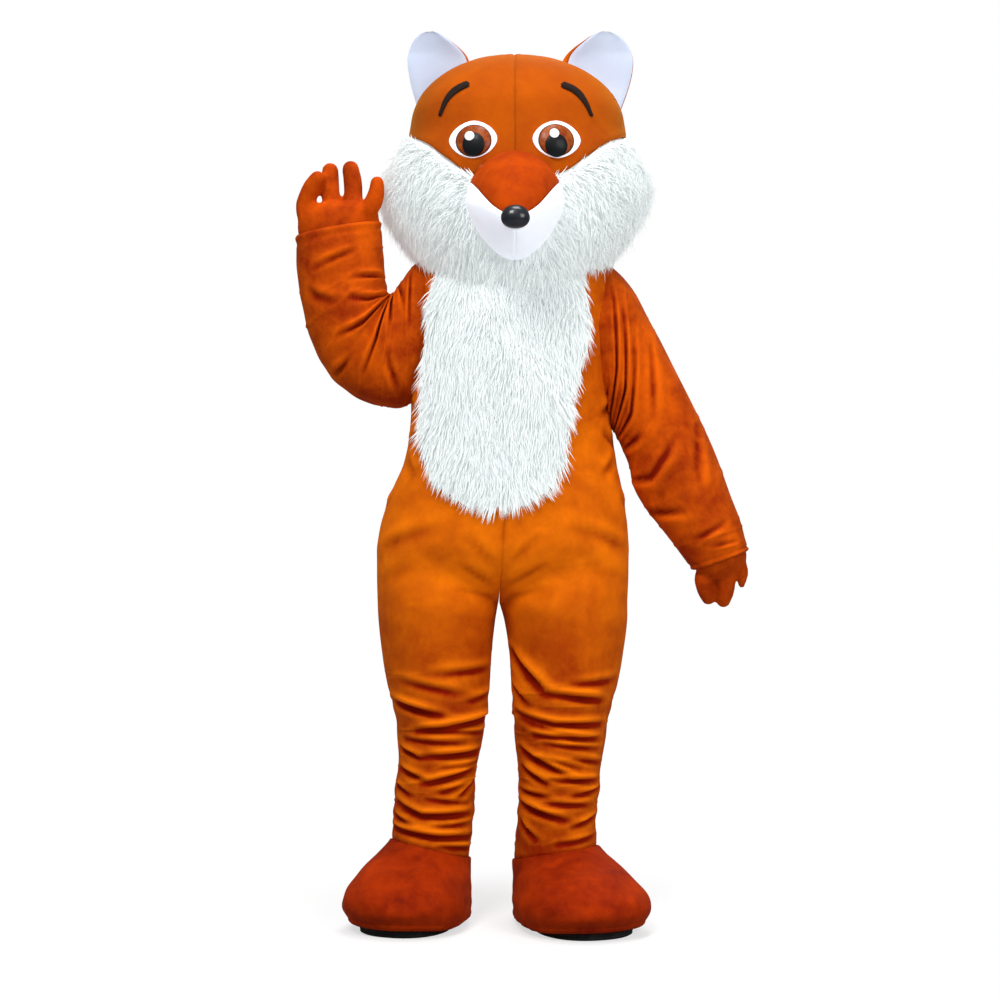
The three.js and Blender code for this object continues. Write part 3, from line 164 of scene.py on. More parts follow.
def make_wall(name, outside, thick=CLOTH, loop=False, inside=None, weld=False, painted_shade=None):
    """A closed wall of cloth: a grid of outside points, the same grid moved in along its normals, and the
    edges between them. Painted shade gives the plush its painted shade at each point: darker in creases and
    grooves, lighter where it is below 0."""
    if inside is None:
        inside = outside - normals_of(outside, loop) * thick
    rows, columns = outside.shape[:2]
    skin = grid_faces(rows, columns, loop)
    other = rows * columns
    at = np.arange(other).reshape(rows, columns)
    if loop:
        edges = [np.append(at[0], at[0, 0]), np.append(at[-1, 0], at[-1, ::-1])]
    else:
        edges = [at[0], at[-1, ::-1], at[::-1, 0], at[:, -1]]
    faces = [skin, skin[:, ::-1] + other]
    for path in edges:
        a, b = path[:-1], path[1:]
        faces.append(np.stack([b, a, a + other, b + other], -1))
    points = np.concatenate([outside.reshape(-1, 3), inside.reshape(-1, 3)])
    piece = make_piece(name, points, np.concatenate(faces), weld)
    if painted_shade is not None:
        mark(piece, "painted_shade", np.concatenate([painted_shade.ravel(), np.zeros(other)]))
    return piece


def skin_area(points, loop=False):
    """The area of a grid in square metres."""
    p = points.reshape(-1, 3) / 1000
    a, b, c, d = (p[i] for i in grid_faces(*points.shape[:2], loop).T)
    return float(np.linalg.norm(np.cross(c - a, d - b), axis=1).sum() / 2)


def soften_rows(points, amount, times=40):
    """A grid smoothed down its columns where amount is above 0, which takes out kinks between rows."""
    for _ in range(times):
        step = np.zeros_like(points)
        step[1:-1] = (points[:-2] + points[2:]) / 2 - points[1:-1]
        points = points + 0.5 * amount[..., None] * step
    return points


def crease(across, h, lines):
    """How far creases move the cloth: along each line it sinks in a trough and rolls over above it and a
    little below it, most at the line's middle, running out at its ends."""
    moved = np.zeros(np.broadcast(across, h).shape)
    for points, depth, width in lines:
        points = np.array(points, float)
        steps = np.linalg.norm(np.diff(points, axis=0), axis=1)
        starts = np.concatenate([[0], np.cumsum(steps)])
        nearest = np.full(moved.shape, 1e6)
        above, along = np.zeros(moved.shape), np.zeros(moved.shape)
        for a, b, start, step in zip(points, points[1:], starts, steps):
            d = b - a
            t = np.clip(((across - a[0]) * d[0] + (h - a[1]) * d[1]) / step**2, 0, 1)
            up = h - a[1] - t * d[1]
            away = np.hypot(across - a[0] - t * d[0], up)
            near = away < nearest
            nearest = np.where(near, away, nearest)
            above = np.where(near, up, above)
            along = np.where(near, (start + t * step) / starts[-1], along)
        q = nearest / width
        signed = q * np.tanh(above / (0.4 * width))
        shown = 0.3 + 0.7 * np.sin(pi * along)
        roll = 0.75 * bell(signed - 1.2, 0.85) + 0.3 * bell(signed + 1.25, 0.9)
        moved += depth * shown * (roll - 0.95 * bell(q, 0.6))
    return moved


def ripples(across, h, seed, size):
    """Slow unevenness of stuffed cloth: a sum of six slanting waves of random length and phase."""
    rng = np.random.default_rng(seed)
    total = 0
    for _ in range(6):
        angle, length, phase = rng.uniform(0, pi), rng.uniform(45, 120), rng.uniform(0, 2 * pi)
        total = total + np.sin((across * np.cos(angle) + h * np.sin(angle)) * 2 * pi / length + phase)
    return size * total / 6


torso = curves(
    ["left", "right", "seam", "front", "back"],
    [
        (660, -267, 252, -15, 142, 150), (708, -268, 254, -12, 152, 162), (790, -266, 254, -7, 166, 172),
        (874, -245, 245, -2, 166, 164), (957, -210, 228, 3, 160, 150), (1040, -198, 218, 7, 156, 142),
        (1144, -196, 220, 11, 152, 138), (1228, -195, 224, 14, 146, 136), (1290, -192, 226, 16, 138, 132),
        (1321, -188, 222, 17, 128, 127), (1345, -176, 210, 17, 114, 118), (1362, -152, 186, 17, 99, 106),
        (1374, -124, 158, 17, 86, 96), (1382, -98, 132, 17, 76, 88),
    ],
)
LEG_COLUMNS = ["inner", "outer", "front", "back", "y"]
legs = {
    "left": curves(
        LEG_COLUMNS,
        [
            (135, -77, -238, 84, 88, 10), (229, -66, -234, 87, 92, 6), (292, -64, -229, 89, 94, 2),
            (350, -55, -223, 93, 97, -2), (437, -39, -232, 105, 109, -5), (500, -33, -248, 116, 122, -5),
            (562, -29, -258, 126, 134, -3), (624, -22, -265, 137, 146, 0), (660, -16, -267, 142, 150, 0),
        ],
    ),
    "right": curves(
        LEG_COLUMNS,
        [
            (135, 17, 190, 84, 88, 10), (208, 23, 187, 87, 92, 6), (271, 26, 194, 89, 94, 2),
            (333, 23, 199, 93, 97, -2), (437, 14, 216, 105, 109, -5), (500, 10, 233, 116, 122, -5),
            (562, 6, 244, 126, 134, -3), (624, -4, 252, 137, 146, 0), (660, -14, 252, 142, 150, 0),
        ],
    ),
}
# Creases of the legs: points as (share from inseam to outseam, height), then depth and width.
LEG_CREASE_DEPTH = 1.65  # times the depths below
LEG_CREASES = {
    "left": [
        ([(0.87, 461), (0.49, 434)], 9, 11), ([(0.0, 426), (0.66, 402)], 10, 11),
        ([(0.61, 406), (0.07, 394)], 5, 8), ([(0.09, 355), (0.6, 349)], 9, 10),
        ([(0.86, 363), (0.63, 345)], 7, 9), ([(0.17, 318), (0.61, 292)], 9, 10),
        ([(0.86, 322), (0.59, 302)], 7, 9), ([(0.24, 288), (0.45, 276)], 5, 8),
        ([(0.06, 300), (0.3, 262)], 5, 9), ([(0.84, 251), (0.59, 227), (0.15, 227)], 9, 10),
        ([(0.89, 198), (0.44, 182), (0.09, 176)], 9, 10), ([(0.42, 164), (0.05, 150)], 6, 8),
        ([(0.93, 292), (0.7, 268)], 5, 8), ([(0.9, 226), (0.68, 208)], 5, 8),
        ([(0.1, 528), (0.5, 519)], 4, 12), ([(0.75, 505), (0.35, 478)], 4, 12),
        ([(0.05, 474), (0.3, 462)], 4, 10), ([(0.3, 377), (0.8, 384)], 4, 8),
        ([(0.1, 334), (0.45, 326)], 4, 7), ([(0.55, 262), (0.2, 250)], 4, 7),
        ([(0.12, 208), (0.5, 205)], 4, 7),
    ],
    "right": [
        ([(0.1, 563), (0.39, 475)], 9, 13), ([(0.42, 479), (0.75, 463)], 9, 11),
        ([(0.13, 438), (0.45, 416), (0.81, 414)], 9, 10), ([(0.18, 424), (0.58, 394)], 6, 8),
        ([(0.31, 394), (0.81, 382)], 8, 9), ([(0.38, 377), (0.82, 363)], 6, 8),
        ([(0.15, 363), (0.56, 310)], 9, 10), ([(0.35, 349), (0.65, 325)], 5, 8),
        ([(0.16, 325), (0.4, 292)], 7, 9), ([(0.44, 302), (0.84, 296)], 8, 9),
        ([(0.1, 276), (0.41, 266)], 5, 8), ([(0.11, 249), (0.57, 217)], 9, 10),
        ([(0.38, 253), (0.78, 247)], 6, 8), ([(0.13, 213), (0.33, 176)], 6, 9),
        ([(0.6, 345), (0.9, 331)], 5, 8), ([(0.9, 278), (0.6, 268)], 5, 8),
        ([(0.92, 222), (0.62, 203)], 6, 9), ([(0.88, 180), (0.5, 168)], 5, 8),
        ([(0.05, 500), (0.25, 455)], 5, 10), ([(0.85, 505), (0.55, 498)], 4, 11),
    ],
}
# Creases of the torso, by distance from the middle seam: at the crotch, the waist and under the arms.
TORSO_CREASES = [
    ([(8, 700), (70, 742)], 6, 12), ([(12, 672), (110, 690)], 6, 12), ([(6, 742), (48, 800)], 4, 12),
    ([(250, 1010), (330, 985)], 6, 14), ([(240, 1050), (320, 1070)], 5, 14),
    ([(290, 955), (220, 925)], 5, 15), ([(300, 880), (350, 850)], 5, 15), ([(20, 640), (95, 628)], 5, 12),
    ([(120, 815), (300, 770)], 4, 18), ([(60, 700), (200, 670)], 4, 16), ([(180, 740), (330, 700)], 4, 18),
]
ANKLE_TOP = {"left": (127, 167), "right": (124, 154)}
INSTEP_UP, HEEL_DOWN, HEM_TUCK, HEM_HEIGHT = 13, 5, 9, 135


def ankle_top(side, face, share):
    """Height where the leg meets the shoe cover: a slope from inseam to outseam, raised at the instep and
    lowered at the heel."""
    inner, outer = ANKLE_TOP[side]
    arch = INSTEP_UP if face < 0 else -HEEL_DOWN
    return mix(inner, outer, share) + arch * np.sqrt(np.maximum(0, 4 * share * (1 - share)))


def torso_point(side, face, share, h, out=0.0):
    """A section of the torso: a superellipse through the side seams and the middle seams, moved out by
    out."""
    half = np.abs(torso[side](h) - torso["seam"](h)) + out
    depth = torso["front" if face < 0 else "back"](h) + out
    angle, power = share * pi / 2, 2 / TORSO_SQUARENESS
    cos = np.maximum(np.cos(angle), 0)
    return stack(torso["seam"](h) + SIDE[side] * half * np.sin(angle) ** power, face * depth * cos**power, h)


def leg_point(side, face, share, h, out=0.0):
    """A section of a leg: half an ellipse from the inseam to the outseam."""
    at, leg = np.minimum(h, CROTCH), legs[side]
    inner = np.where(h > CROTCH, torso["seam"](h), leg["inner"](at))
    outer = np.where(h > CROTCH, torso[side](h), leg["outer"](at))
    half, angle = np.abs(outer - inner) / 2 + out, share * pi
    x = (inner + outer) / 2 - np.sign(outer - inner) * half * np.cos(angle)
    y = leg["y"](at) + face * (leg["front" if face < 0 else "back"](at) + out) * np.sin(angle)
    return stack(x, y, h)


def torso_drape(share, h):
    """How far the torso's cloth stands off its section: its creases and lumps, run out before the seams."""
    across = share * TORSO_AROUND
    drape = crease(across, h, TORSO_CREASES) + ripples(across, h, 5, 1.1)
    return drape * ease(0, 0.06, share) * (1 - ease(0.94, 1, share))


def sewn_edges(share, around, depth):
    """The grooves along a panel's two sewn edges."""
    return -depth * (bell(share * around, 3.5) + bell((1 - share) * around, 3.5))


def leg_drape(side, face, share, h):
    """How far a leg's cloth stands off its section: its creases away from the seams, the sewn seams'
    grooves, and lumps that both faces share at the seams. Behind, each leg has the other's creases."""
    lines = LEG_CREASES[side if face < 0 else {"left": "right", "right": "left"}[side]]
    lines = [([(u * LEG_AROUND, v) for u, v in p], LEG_CREASE_DEPTH * d, w) for p, d, w in lines]
    across = share * LEG_AROUND
    creases = crease(across, h + (0 if face < 0 else 7), lines)
    inside = ease(0, 0.1, share) * (1 - ease(0.9, 1, share))
    wave = 1.7 * np.sin(h / 11.0 + 2 * np.sin(h / 37)) * (1 - ease(430, 520, h))
    lumps = wave * (1 - inside) * ease(150, 190, h)
    groove = sewn_edges(share, LEG_AROUND, 1.6)
    return creases * inside + lumps + groove + ripples(across, h, 3, 1.2) * inside


SHARES = np.concatenate([[0, 0.008, 0.018, 0.032], np.linspace(0.05, 0.95, 33), [0.968, 0.982, 0.992, 1]])
FULL_SHADE_DEPTH = 7.0  # millimetres that cloth sinks in a crease where its painted shade is full


def body_grid(side, face, body_rows=70, turn_rows=22, leg_rows=124, hem_rows=28):
    """A panel's outside, and how far it is moved off its sections: torso sections above the hip, leg
    sections below the crotch, a turn between, and rows that slope to the shoe at the hem."""
    share = SHARES[None, :]
    h = np.linspace(NECK, HIP, body_rows)[:, None]
    drape = torso_drape(share, h) + sewn_edges(share, TORSO_AROUND, 1.5)
    rows, moved = [torso_point(side, face, share, h, drape)], [drape]
    turn = (np.arange(1, turn_rows + 1) / turn_rows * pi / 2)[:, None]
    h = HIP - (HIP - CROTCH) * np.sin(turn)
    to_leg = mix(1 - np.cos(turn), ease(0, 1, np.sin(turn)), ease(0, 0.5, share))
    drape = torso_drape(share, h) * (1 - to_leg) + leg_drape(side, face, share, h) * to_leg
    trunk, thigh = (section(side, face, share, h, drape) for section in (torso_point, leg_point))
    rows.append(mix(trunk, thigh, to_leg[..., None]))
    moved.append(drape)
    h = np.linspace(CROTCH, LEG_END, leg_rows + 1)[1:, None]
    moved.append(leg_drape(side, face, share, h))
    rows.append(leg_point(side, face, share, h, moved[-1]))
    foot = ankle_top(side, face, share) - HEM_TUCK
    h = mix(LEG_END, foot, (np.arange(1, hem_rows + 1) / hem_rows)[:, None])
    moved.append(leg_drape(side, face, share, h) - 2.5 * ease(14, 0, h - foot))
    hem = leg_point(side, face, share, np.maximum(h, HEM_HEIGHT), moved[-1])
    hem[..., 2] = h
    rows.append(hem)
    skin = np.concatenate(rows)
    at_turn = bell(skin[..., 2] - CROTCH, 28) * ease(0.02, 0.15, share)
    return soften_rows(skin, at_turn), np.concatenate(moved)


panels = {}
for place, face in FACE.items():
    for side in SIDE:
        name = f"{place}_{side}"
        skin, moved = body_grid(side, face)
        # Painted shade: the orange cloth is darker down the lower legs, where less light falls, and a little
        # darker above the waist.
        darker_by_height = 0.8 * (1 - ease(400, 760, skin[..., 2])) + 0.35 * ease(900, 1120, skin[..., 2])
        panels[name] = make_wall(f"{name}_cloth", skin, painted_shade=darker_by_height - moved / FULL_SHADE_DEPTH)
        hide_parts(name)
        area = skin_area(skin)


# The plush: short pile that shows its nap in soft lighter and darker patches, with a sheen along the edges,
# and painted shade that darkens its creases and grooves and lightens their rolls. The orange cloth is
# brightest where the pile lies down, and the gloves and shoes are redder.
def linear(r, g, b):
    """A colour picked in 0 to 255 as the light that the shader wants."""
    c = np.array([r, g, b]) / 255
    return (*np.where(c <= 0.04045, c / 12.92, ((c + 0.055) / 1.055) ** 2.4).tolist(), 1)


def new_group(name, inputs, outputs):
    """An empty shader group with named sockets. Inputs are (name, kind, value)."""
    group = bpy.data.node_groups.new(name, "ShaderNodeTree")
    for label, kind, value in inputs:
        socket = group.interface.new_socket(label, in_out="INPUT", socket_type=kind)
        socket.default_value = value
    for label, kind in outputs:
        group.interface.new_socket(label, in_out="OUTPUT", socket_type=kind)
    return group, group.nodes.new("NodeGroupInput"), group.nodes.new("NodeGroupOutput")


def put(tree, kind, links=(), **settings):
    """A node with its settings and its inputs, each a value or another node's socket."""
    node = tree.nodes.new(kind)
    for key, value in settings.items():
        setattr(node, key, value)
    for key, value in dict(links).items():
        if isinstance(value, bpy.types.NodeSocket):
            tree.links.new(value, node.inputs[key])
        else:
            node.inputs[key].default_value = value
    return node


def place_on(tree):
    """The place on the piece, which its patterns read."""
    return put(tree, "ShaderNodeTexCoord").outputs["Object"]


def noise(tree, place, scale, detail=2.0, roughness=0.5, distortion=0.0):
    """A soft random pattern from 0 to 1, scale times in a metre."""
    values = {"Scale": scale, "Detail": detail, "Roughness": roughness, "Distortion": distortion}
    return put(tree, "ShaderNodeTexNoise", {"Vector": place, **values}).outputs["Fac"]


def stretch(tree, value, low, high, new_low=0.0, new_high=1.0, **settings):
    """The part of a value from low to high, brought to a new range."""
    values = {"From Min": low, "From Max": high, "To Min": new_low, "To Max": new_high}
    return put(tree, "ShaderNodeMapRange", {"Value": value, **values}, **settings).outputs[0]


def work_out(tree, operation, *values, clamp=False):
    """A sum or a product of values and sockets."""
    values = dict(enumerate(values))
    return put(tree, "ShaderNodeMath", values, operation=operation, use_clamp=clamp).outputs[0]


def blend(tree, share, low, high):
    """A colour between two."""
    return put(tree, "ShaderNodeMix", {0: share, 6: low, 7: high}, data_type="RGBA").outputs[2]


def attribute(tree, name):
    """A number that the piece's points carry."""
    return put(tree, "ShaderNodeAttribute", attribute_name=name).outputs["Fac"]


def bump(tree, height, strength, depth):
    """Normals of a surface that stands up with height, by at most depth in metres."""
    values = {"Height": height, "Strength": strength, "Distance": depth}
    return put(tree, "ShaderNodeBump", values).outputs["Normal"]


FLOAT, COLOUR = "NodeSocketFloat", "NodeSocketColor"
nap, nap_in, nap_out = new_group(
    "plush_nap",
    [
        ("Pile", COLOUR, (1, 1, 1, 1)), ("Deep", COLOUR, (0, 0, 0, 1)), ("Patches", FLOAT, 12.0),
        ("Contrast", FLOAT, 0.5), ("Painted_Shade", FLOAT, 0.0),
    ],
    [("Colour", COLOUR), ("Height", FLOAT), ("Roughness", FLOAT)],
)
given, spot = nap_in.outputs, place_on(nap)
cloud, small = noise(nap, spot, given["Patches"], 5.0, 0.6, 0.3), noise(nap, spot, 60.0, 3.0, 0.6, 0.4)
tufts, fibres = noise(nap, spot, 420.0, 2.0, 0.7), noise(nap, spot, 1500.0, 1.0)
patchy = work_out(nap, "MULTIPLY", stretch(nap, cloud, 0.36, 0.66), 0.68)
patchy = work_out(nap, "MULTIPLY_ADD", stretch(nap, small, 0.3, 0.7), 0.22, patchy)
tufted = work_out(nap, "MULTIPLY_ADD", tufts, 0.25, patchy)
# Painted shade: the points' painted shade moves the colour towards the deep tone, and below 0 towards the
# pile's.
shade_share = work_out(nap, "MULTIPLY", given["Painted_Shade"], 0.62)
lean = work_out(nap, "MULTIPLY_ADD", tufted, given["Contrast"], shade_share, clamp=True)
height = work_out(nap, "MULTIPLY_ADD", small, 0.8, work_out(nap, "MULTIPLY_ADD", tufts, 0.7, fibres))
nap.links.new(blend(nap, lean, given["Pile"], given["Deep"]), nap_out.inputs["Colour"])
nap.links.new(height, nap_out.inputs["Height"])
nap.links.new(stretch(nap, patchy, 0.0, 1.0, 0.92, 0.7), nap_out.inputs["Roughness"])


def new_material(name, **shader):
    """A material with its own Principled shader, whose plain values are set on its sockets."""
    material = bpy.data.materials.new(name)
    material.use_nodes = True
    principled = material.node_tree.nodes["Principled BSDF"]
    for key, value in shader.items():
        principled.inputs[key.replace("_", " ")].default_value = value
    return material, material.node_tree, principled


def plush(name, pile, deep, patches, contrast, pile_height=0.0012, **shader):
    """Plush of one colour: the nap's patches and its pile as colour, roughness and bump."""
    material, tree, principled = new_material(name, **shader)
    values = {"Pile": linear(*pile), "Deep": linear(*deep), "Patches": patches, "Contrast": contrast}
    # The painted shade that the points carry: darker in creases and grooves.
    values["Painted_Shade"] = attribute(tree, "painted_shade")
    cloth = put(tree, "ShaderNodeGroup", values, node_tree=nap).outputs
    tree.links.new(cloth["Colour"], principled.inputs["Base Color"])
    tree.links.new(cloth["Roughness"], principled.inputs["Roughness"])
    tree.links.new(bump(tree, cloth["Height"], 0.55, pile_height), principled.inputs["Normal"])
    return material


def dress(material, slot, *pieces):
    """Gives pieces their material. The slot is not used."""
    for piece in pieces:
        piece.data.materials.clear()
        piece.data.materials.append(material)


SHEEN = {"Sheen_Weight": 0.12, "Sheen_Roughness": 0.4, "Specular_IOR_Level": 0.05}
GOLD, EMBER = linear(255, 150, 40), linear(255, 110, 20)
orange_plush = plush("orange_plush", (241, 119, 5), (144, 24, 1), 11.0, 0.5, Sheen_Tint=GOLD, **SHEEN)
# The sleeves' plush: a darker copy of the orange plush, painted shade on the sleeves.
shaded_sleeve_plush = plush("shaded_sleeve_plush", (217, 90, 4), (130, 24, 1), 12.0, 0.9, Sheen_Tint=GOLD, **SHEEN)
rust_plush = plush("rust_plush", (212, 82, 4), (124, 28, 1), 14.0, 0.85, Sheen_Tint=EMBER, **SHEEN)
# The shoes' plush: a darker copy of the rust plush, painted shade on the feet, where less light falls.
shaded_shoe_plush = plush("shaded_shoe_plush", (186, 56, 3), (110, 15, 1), 11.0, 0.9, Sheen_Tint=EMBER, **SHEEN)
dress(orange_plush, "orange_plush", *panels.values())

# The sleeves: a tube of the same plush set into each armhole. The left one is raised and bent at the
# elbow, where it creases, and the right one hangs with long folds below the shoulder.
SLEEVE_COLUMNS = ["farX", "farH", "nearX", "nearH", "y", "deep"]
sleeves = {
    "left": curves(
        SLEEVE_COLUMNS,
        [
            (0, -127, 1092, -127, 1362, 0, 92), (1, -169, 1074, -164, 1371, 0, 98),
            (2, -210, 1067, -193, 1358, -3, 100), (3, -249, 1068, -213, 1331, -10, 98),
            (4, -294, 1078, -228, 1306, -22, 95), (5, -338, 1105, -238, 1292, -36, 92),
            (6, -374, 1147, -244, 1299, -50, 88), (7, -400, 1202, -247, 1319, -61, 82),
            (8, -418, 1274, -249, 1350, -71, 74), (9, -427, 1346, -252, 1390, -79, 66),
            (10, -429, 1412, -255, 1442, -86, 58),
        ],
    ),
    "right": curves(
        SLEEVE_COLUMNS,
        [
            (0, 153, 1362, 153, 1091, 0, 92), (1, 192, 1370, 188, 1056, 0, 98),
            (2, 223, 1354, 207, 1030, -2, 100), (3, 256, 1319, 219, 1015, -5, 98),
            (4, 288, 1263, 228, 1003, -9, 95), (5, 325, 1195, 239, 984, -14, 92),
            (6, 376, 1091, 256, 943, -20, 89), (7, 427, 982, 272, 888, -27, 85),
            (8, 470, 868, 318, 819, -34, 75), (9, 490, 806, 358, 765, -39, 64),
            (10, 500, 771, 384, 729, -42, 54),
        ],
    ),
}
# Creases by degrees round the arm (0 far edge, 90 front, 180 near edge) and place along it, 0 to 10.
SLEEVE_CREASES = {
    "left": [
        ([(170, 4.7), (95, 4.2), (60, 4.3)], 8, 11), ([(172, 5.2), (105, 5.7), (70, 6.3)], 8, 11),
        ([(168, 4.4), (110, 3.4)], 7, 11), ([(172, 5.6), (125, 6.6), (100, 7.3)], 6, 10),
        ([(165, 3.6), (120, 2.4)], 6, 11), ([(60, 5.2), (25, 5.5)], 5, 12),
        ([(165, 7.4), (110, 8.0)], 5, 10), ([(80, 7.4), (40, 8.2)], 4, 12), ([(110, 9.0), (60, 8.8)], 4, 10),
        ([(190, 4.6), (250, 4.1), (290, 4.4)], 8, 11), ([(188, 5.4), (245, 6.2)], 8, 11),
        ([(192, 3.8), (240, 2.9)], 6, 11), ([(260, 7.6), (310, 8.3)], 5, 12),
        ([(100, 1.9), (150, 2.1)], 5, 11), ([(75, 3.2), (45, 2.4)], 4, 12),
    ],
    "right": [
        ([(50, 1.9), (105, 2.6), (160, 2.4)], 6, 12), ([(60, 2.7), (110, 3.7), (168, 3.3)], 7, 12),
        ([(70, 3.7), (120, 4.7), (170, 4.2)], 6, 12), ([(50, 4.6), (95, 5.6)], 5, 13),
        ([(120, 5.6), (165, 5.2)], 5, 11), ([(80, 6.4), (130, 6.8), (170, 6.5)], 5, 11),
        ([(40, 6.6), (75, 7.4)], 4, 13), ([(110, 7.8), (165, 7.6)], 5, 10), ([(60, 8.4), (120, 8.7)], 4, 10),
        ([(200, 2.4), (260, 3.2), (310, 3.0)], 7, 12), ([(195, 4.0), (255, 4.9)], 6, 12),
        ([(210, 6.0), (280, 6.6)], 5, 12), ([(230, 8.0), (300, 8.4)], 5, 11),
        ([(120, 1.9), (168, 1.8)], 5, 10), ([(95, 9.1), (50, 9.2)], 3, 9),
    ],
}
ROUND_ARM, ALONG_ARM = 1.55, 68.0  # millimetres for a degree, and for a step along
SLEEVE_CREASE_DEPTH = 1.6  # times the depths above


def torso_distance(points):
    """Roughly how far points are outside the torso: the superellipse's reach beyond 1 times its depth."""
    x, y, h = points[..., 0], points[..., 1], points[..., 2]
    off = x - torso["seam"](h)
    half = np.where(off < 0, -torso["left"](h) + torso["seam"](h), torso["right"](h) - torso["seam"](h))
    depth = np.where(y < 0, torso["front"](h), torso["back"](h))
    across, forward = np.abs(off / half) ** TORSO_SQUARENESS, np.abs(y / depth) ** TORSO_SQUARENESS
    reach = (across + forward) ** (1 / TORSO_SQUARENESS)
    return (reach - 1) * np.minimum(half, depth)


def sleeve_point(side, k, degrees, out):
    """A rung of the sleeve: an ellipse between its far and near edges, as deep as the table says."""
    at = {name: line(k) for name, line in sleeves[side].items()}
    far, near = stack(at["farX"], at["y"], at["farH"]), stack(at["nearX"], at["y"], at["nearH"])
    across = (far - near) / 2
    half = np.linalg.norm(across, axis=-1, keepdims=True)
    angle = np.radians(degrees)
    flat = (far + near) / 2 + across / half * ((half[..., 0] + out) * np.cos(angle))[..., None]
    return flat + stack(0, -(at["deep"] + out) * np.sin(angle), 0)


def sleeve_grid(side, rows=128, columns=80):
    """The sleeve's outside with its creases, the armhole seam drawn in where it meets the torso, and the
    hem. Its second part is the painted shade of its creases: darker in their troughs, lighter on their
    rolls."""
    k = np.linspace(0.3, 10, rows)[:, None]
    degrees = np.linspace(0, 360, columns, endpoint=False)[None, :]
    out = np.zeros((rows, columns))
    lines = [
        ([(a * ROUND_ARM, b * ALONG_ARM) for a, b in p], SLEEVE_CREASE_DEPTH * d, w)
        for p, d, w in SLEEVE_CREASES[side]
    ]
    for wrap in (-360, 0, 360):
        out += crease((degrees + wrap) * ROUND_ARM, k * ALONG_ARM, lines)
    out *= ease(0.8, 1.8, k) * (1 - ease(9.4, 9.8, k))
    # Painted shade in the creases' troughs and painted light on their rolls.
    painted_shade = -out / FULL_SHADE_DEPTH
    angle = np.radians(degrees)
    seed = 8 if side == "left" else 9
    out += ripples(60 * np.cos(angle) + 9, k * ALONG_ARM + 50 * np.sin(angle), seed, 1.8)
    bare = torso_distance(sleeve_point(side, k, degrees, 0))
    out += -6 * bell(bare, 9) + 2.5 * bell(bare - 26, 15)
    out += -1.8 * bell(k - 9.72, 0.07) + 1.2 * ease(9.8, 9.9, k) - 3.5 * ease(9.93, 10, k)
    return sleeve_point(side, k, degrees, out), painted_shade


for side in SIDE:
    skin, painted_shade = sleeve_grid(side)
    sleeve = make_wall(f"sleeve_{side}_cloth", skin, loop=True, painted_shade=painted_shade)
    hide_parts(f"sleeve_{side}")
    area = skin_area(skin, True)
    dress(shaded_sleeve_plush, "orange_plush", sleeve)

# The gloves: a palm with three fingers and a thumb, cut from rust plush in two halves and turned, with
# an open cuff that goes up the sleeve.
GLOVES = {
    "left": {
        "tilt": 0.16,
        "palm": [
            (-336, -77, 1345, 68, 46), (-338, -82, 1390, 77, 49), (-341, -87, 1428, 83, 47),
            (-342, -95, 1448, 82, 39), (-340, -100, 1464, 79, 31), (-339, -102, 1478, 66, 20),
        ],
        "digits": {
            "little": [(-404, -98, 1440, 19), (-409, -98, 1470, 19), (-402, -102, 1492, 19),
                (-393, -110, 1510, 18), (-382, -119, 1524, 16)],
            "middle": [(-352, -98, 1445, 20), (-352, -98, 1472, 20), (-357, -96, 1495, 19),
                (-359, -95, 1518, 19), (-358, -96, 1543, 17)],
            "index": [(-312, -99, 1445, 20), (-311, -99, 1474, 20), (-311, -97, 1496, 19),
                (-312, -97, 1521, 19), (-316, -98, 1547, 17)],
            "thumb": [(-303, -98, 1444, 17), (-283, -108, 1460, 19), (-270, -114, 1476, 19),
                (-263, -119, 1495, 17), (-261, -121, 1515, 14)],
        },
    },
    "right": {
        "tilt": 0.45,
        "palm": [
            (402, -36, 818, 56, 46), (424, -39, 779, 54, 46), (442, -42, 751, 52, 45),
            (445, -41, 733, 49, 36), (443, -38, 719, 43, 27), (441, -36, 707, 32, 18),
        ],
        "digits": {
            "index": [(424, -40, 748, 16), (408, -41, 718, 19), (409, -40, 700, 19), (413, -34, 684, 17),
                (418, -26, 671, 14)],
            "middle": [(450, -42, 740, 18), (452, -42, 716, 19), (453, -41, 697, 19),
                (451, -37, 681, 18), (449, -30, 667, 15)],
            "little": [(470, -40, 758, 15), (479, -42, 742, 16), (485, -44, 727, 14),
                (486, -44, 713, 11), (485, -42, 699, 7)],
            "thumb": [(436, -26, 752, 15), (429, -12, 726, 16), (420, 3, 712, 16), (414, 12, 700, 15),
                (415, 14, 688, 12)],
        },
    },
}
GLOVE_THICK, GLOVE_VOXEL, GLOVE_SMOOTHING = 0.0026, 0.0038, 5
CUFF_DEEP = 0.003  # metres of the closed shape that are cut open


def palm_rings(glove):
    """The palm as ellipses along the hand, tilted across."""
    table = np.array(glove["palm"], float)
    at = curves(["x", "y", "h", "wide", "deep"], np.column_stack([np.arange(len(table)), table]))
    last = len(table) - 1
    k = np.linspace(0, last, 36)[:, None]
    angle = np.linspace(0, 2 * pi, 40, endpoint=False)[None, :]
    x = at["wide"](k) * np.cos(angle)
    h = at["h"](k) + glove["tilt"] * x * np.clip(1.2 - k / last, 0, 1)
    return stack(at["x"](k) + x, at["y"](k) - at["deep"](k) * np.sin(angle), h)


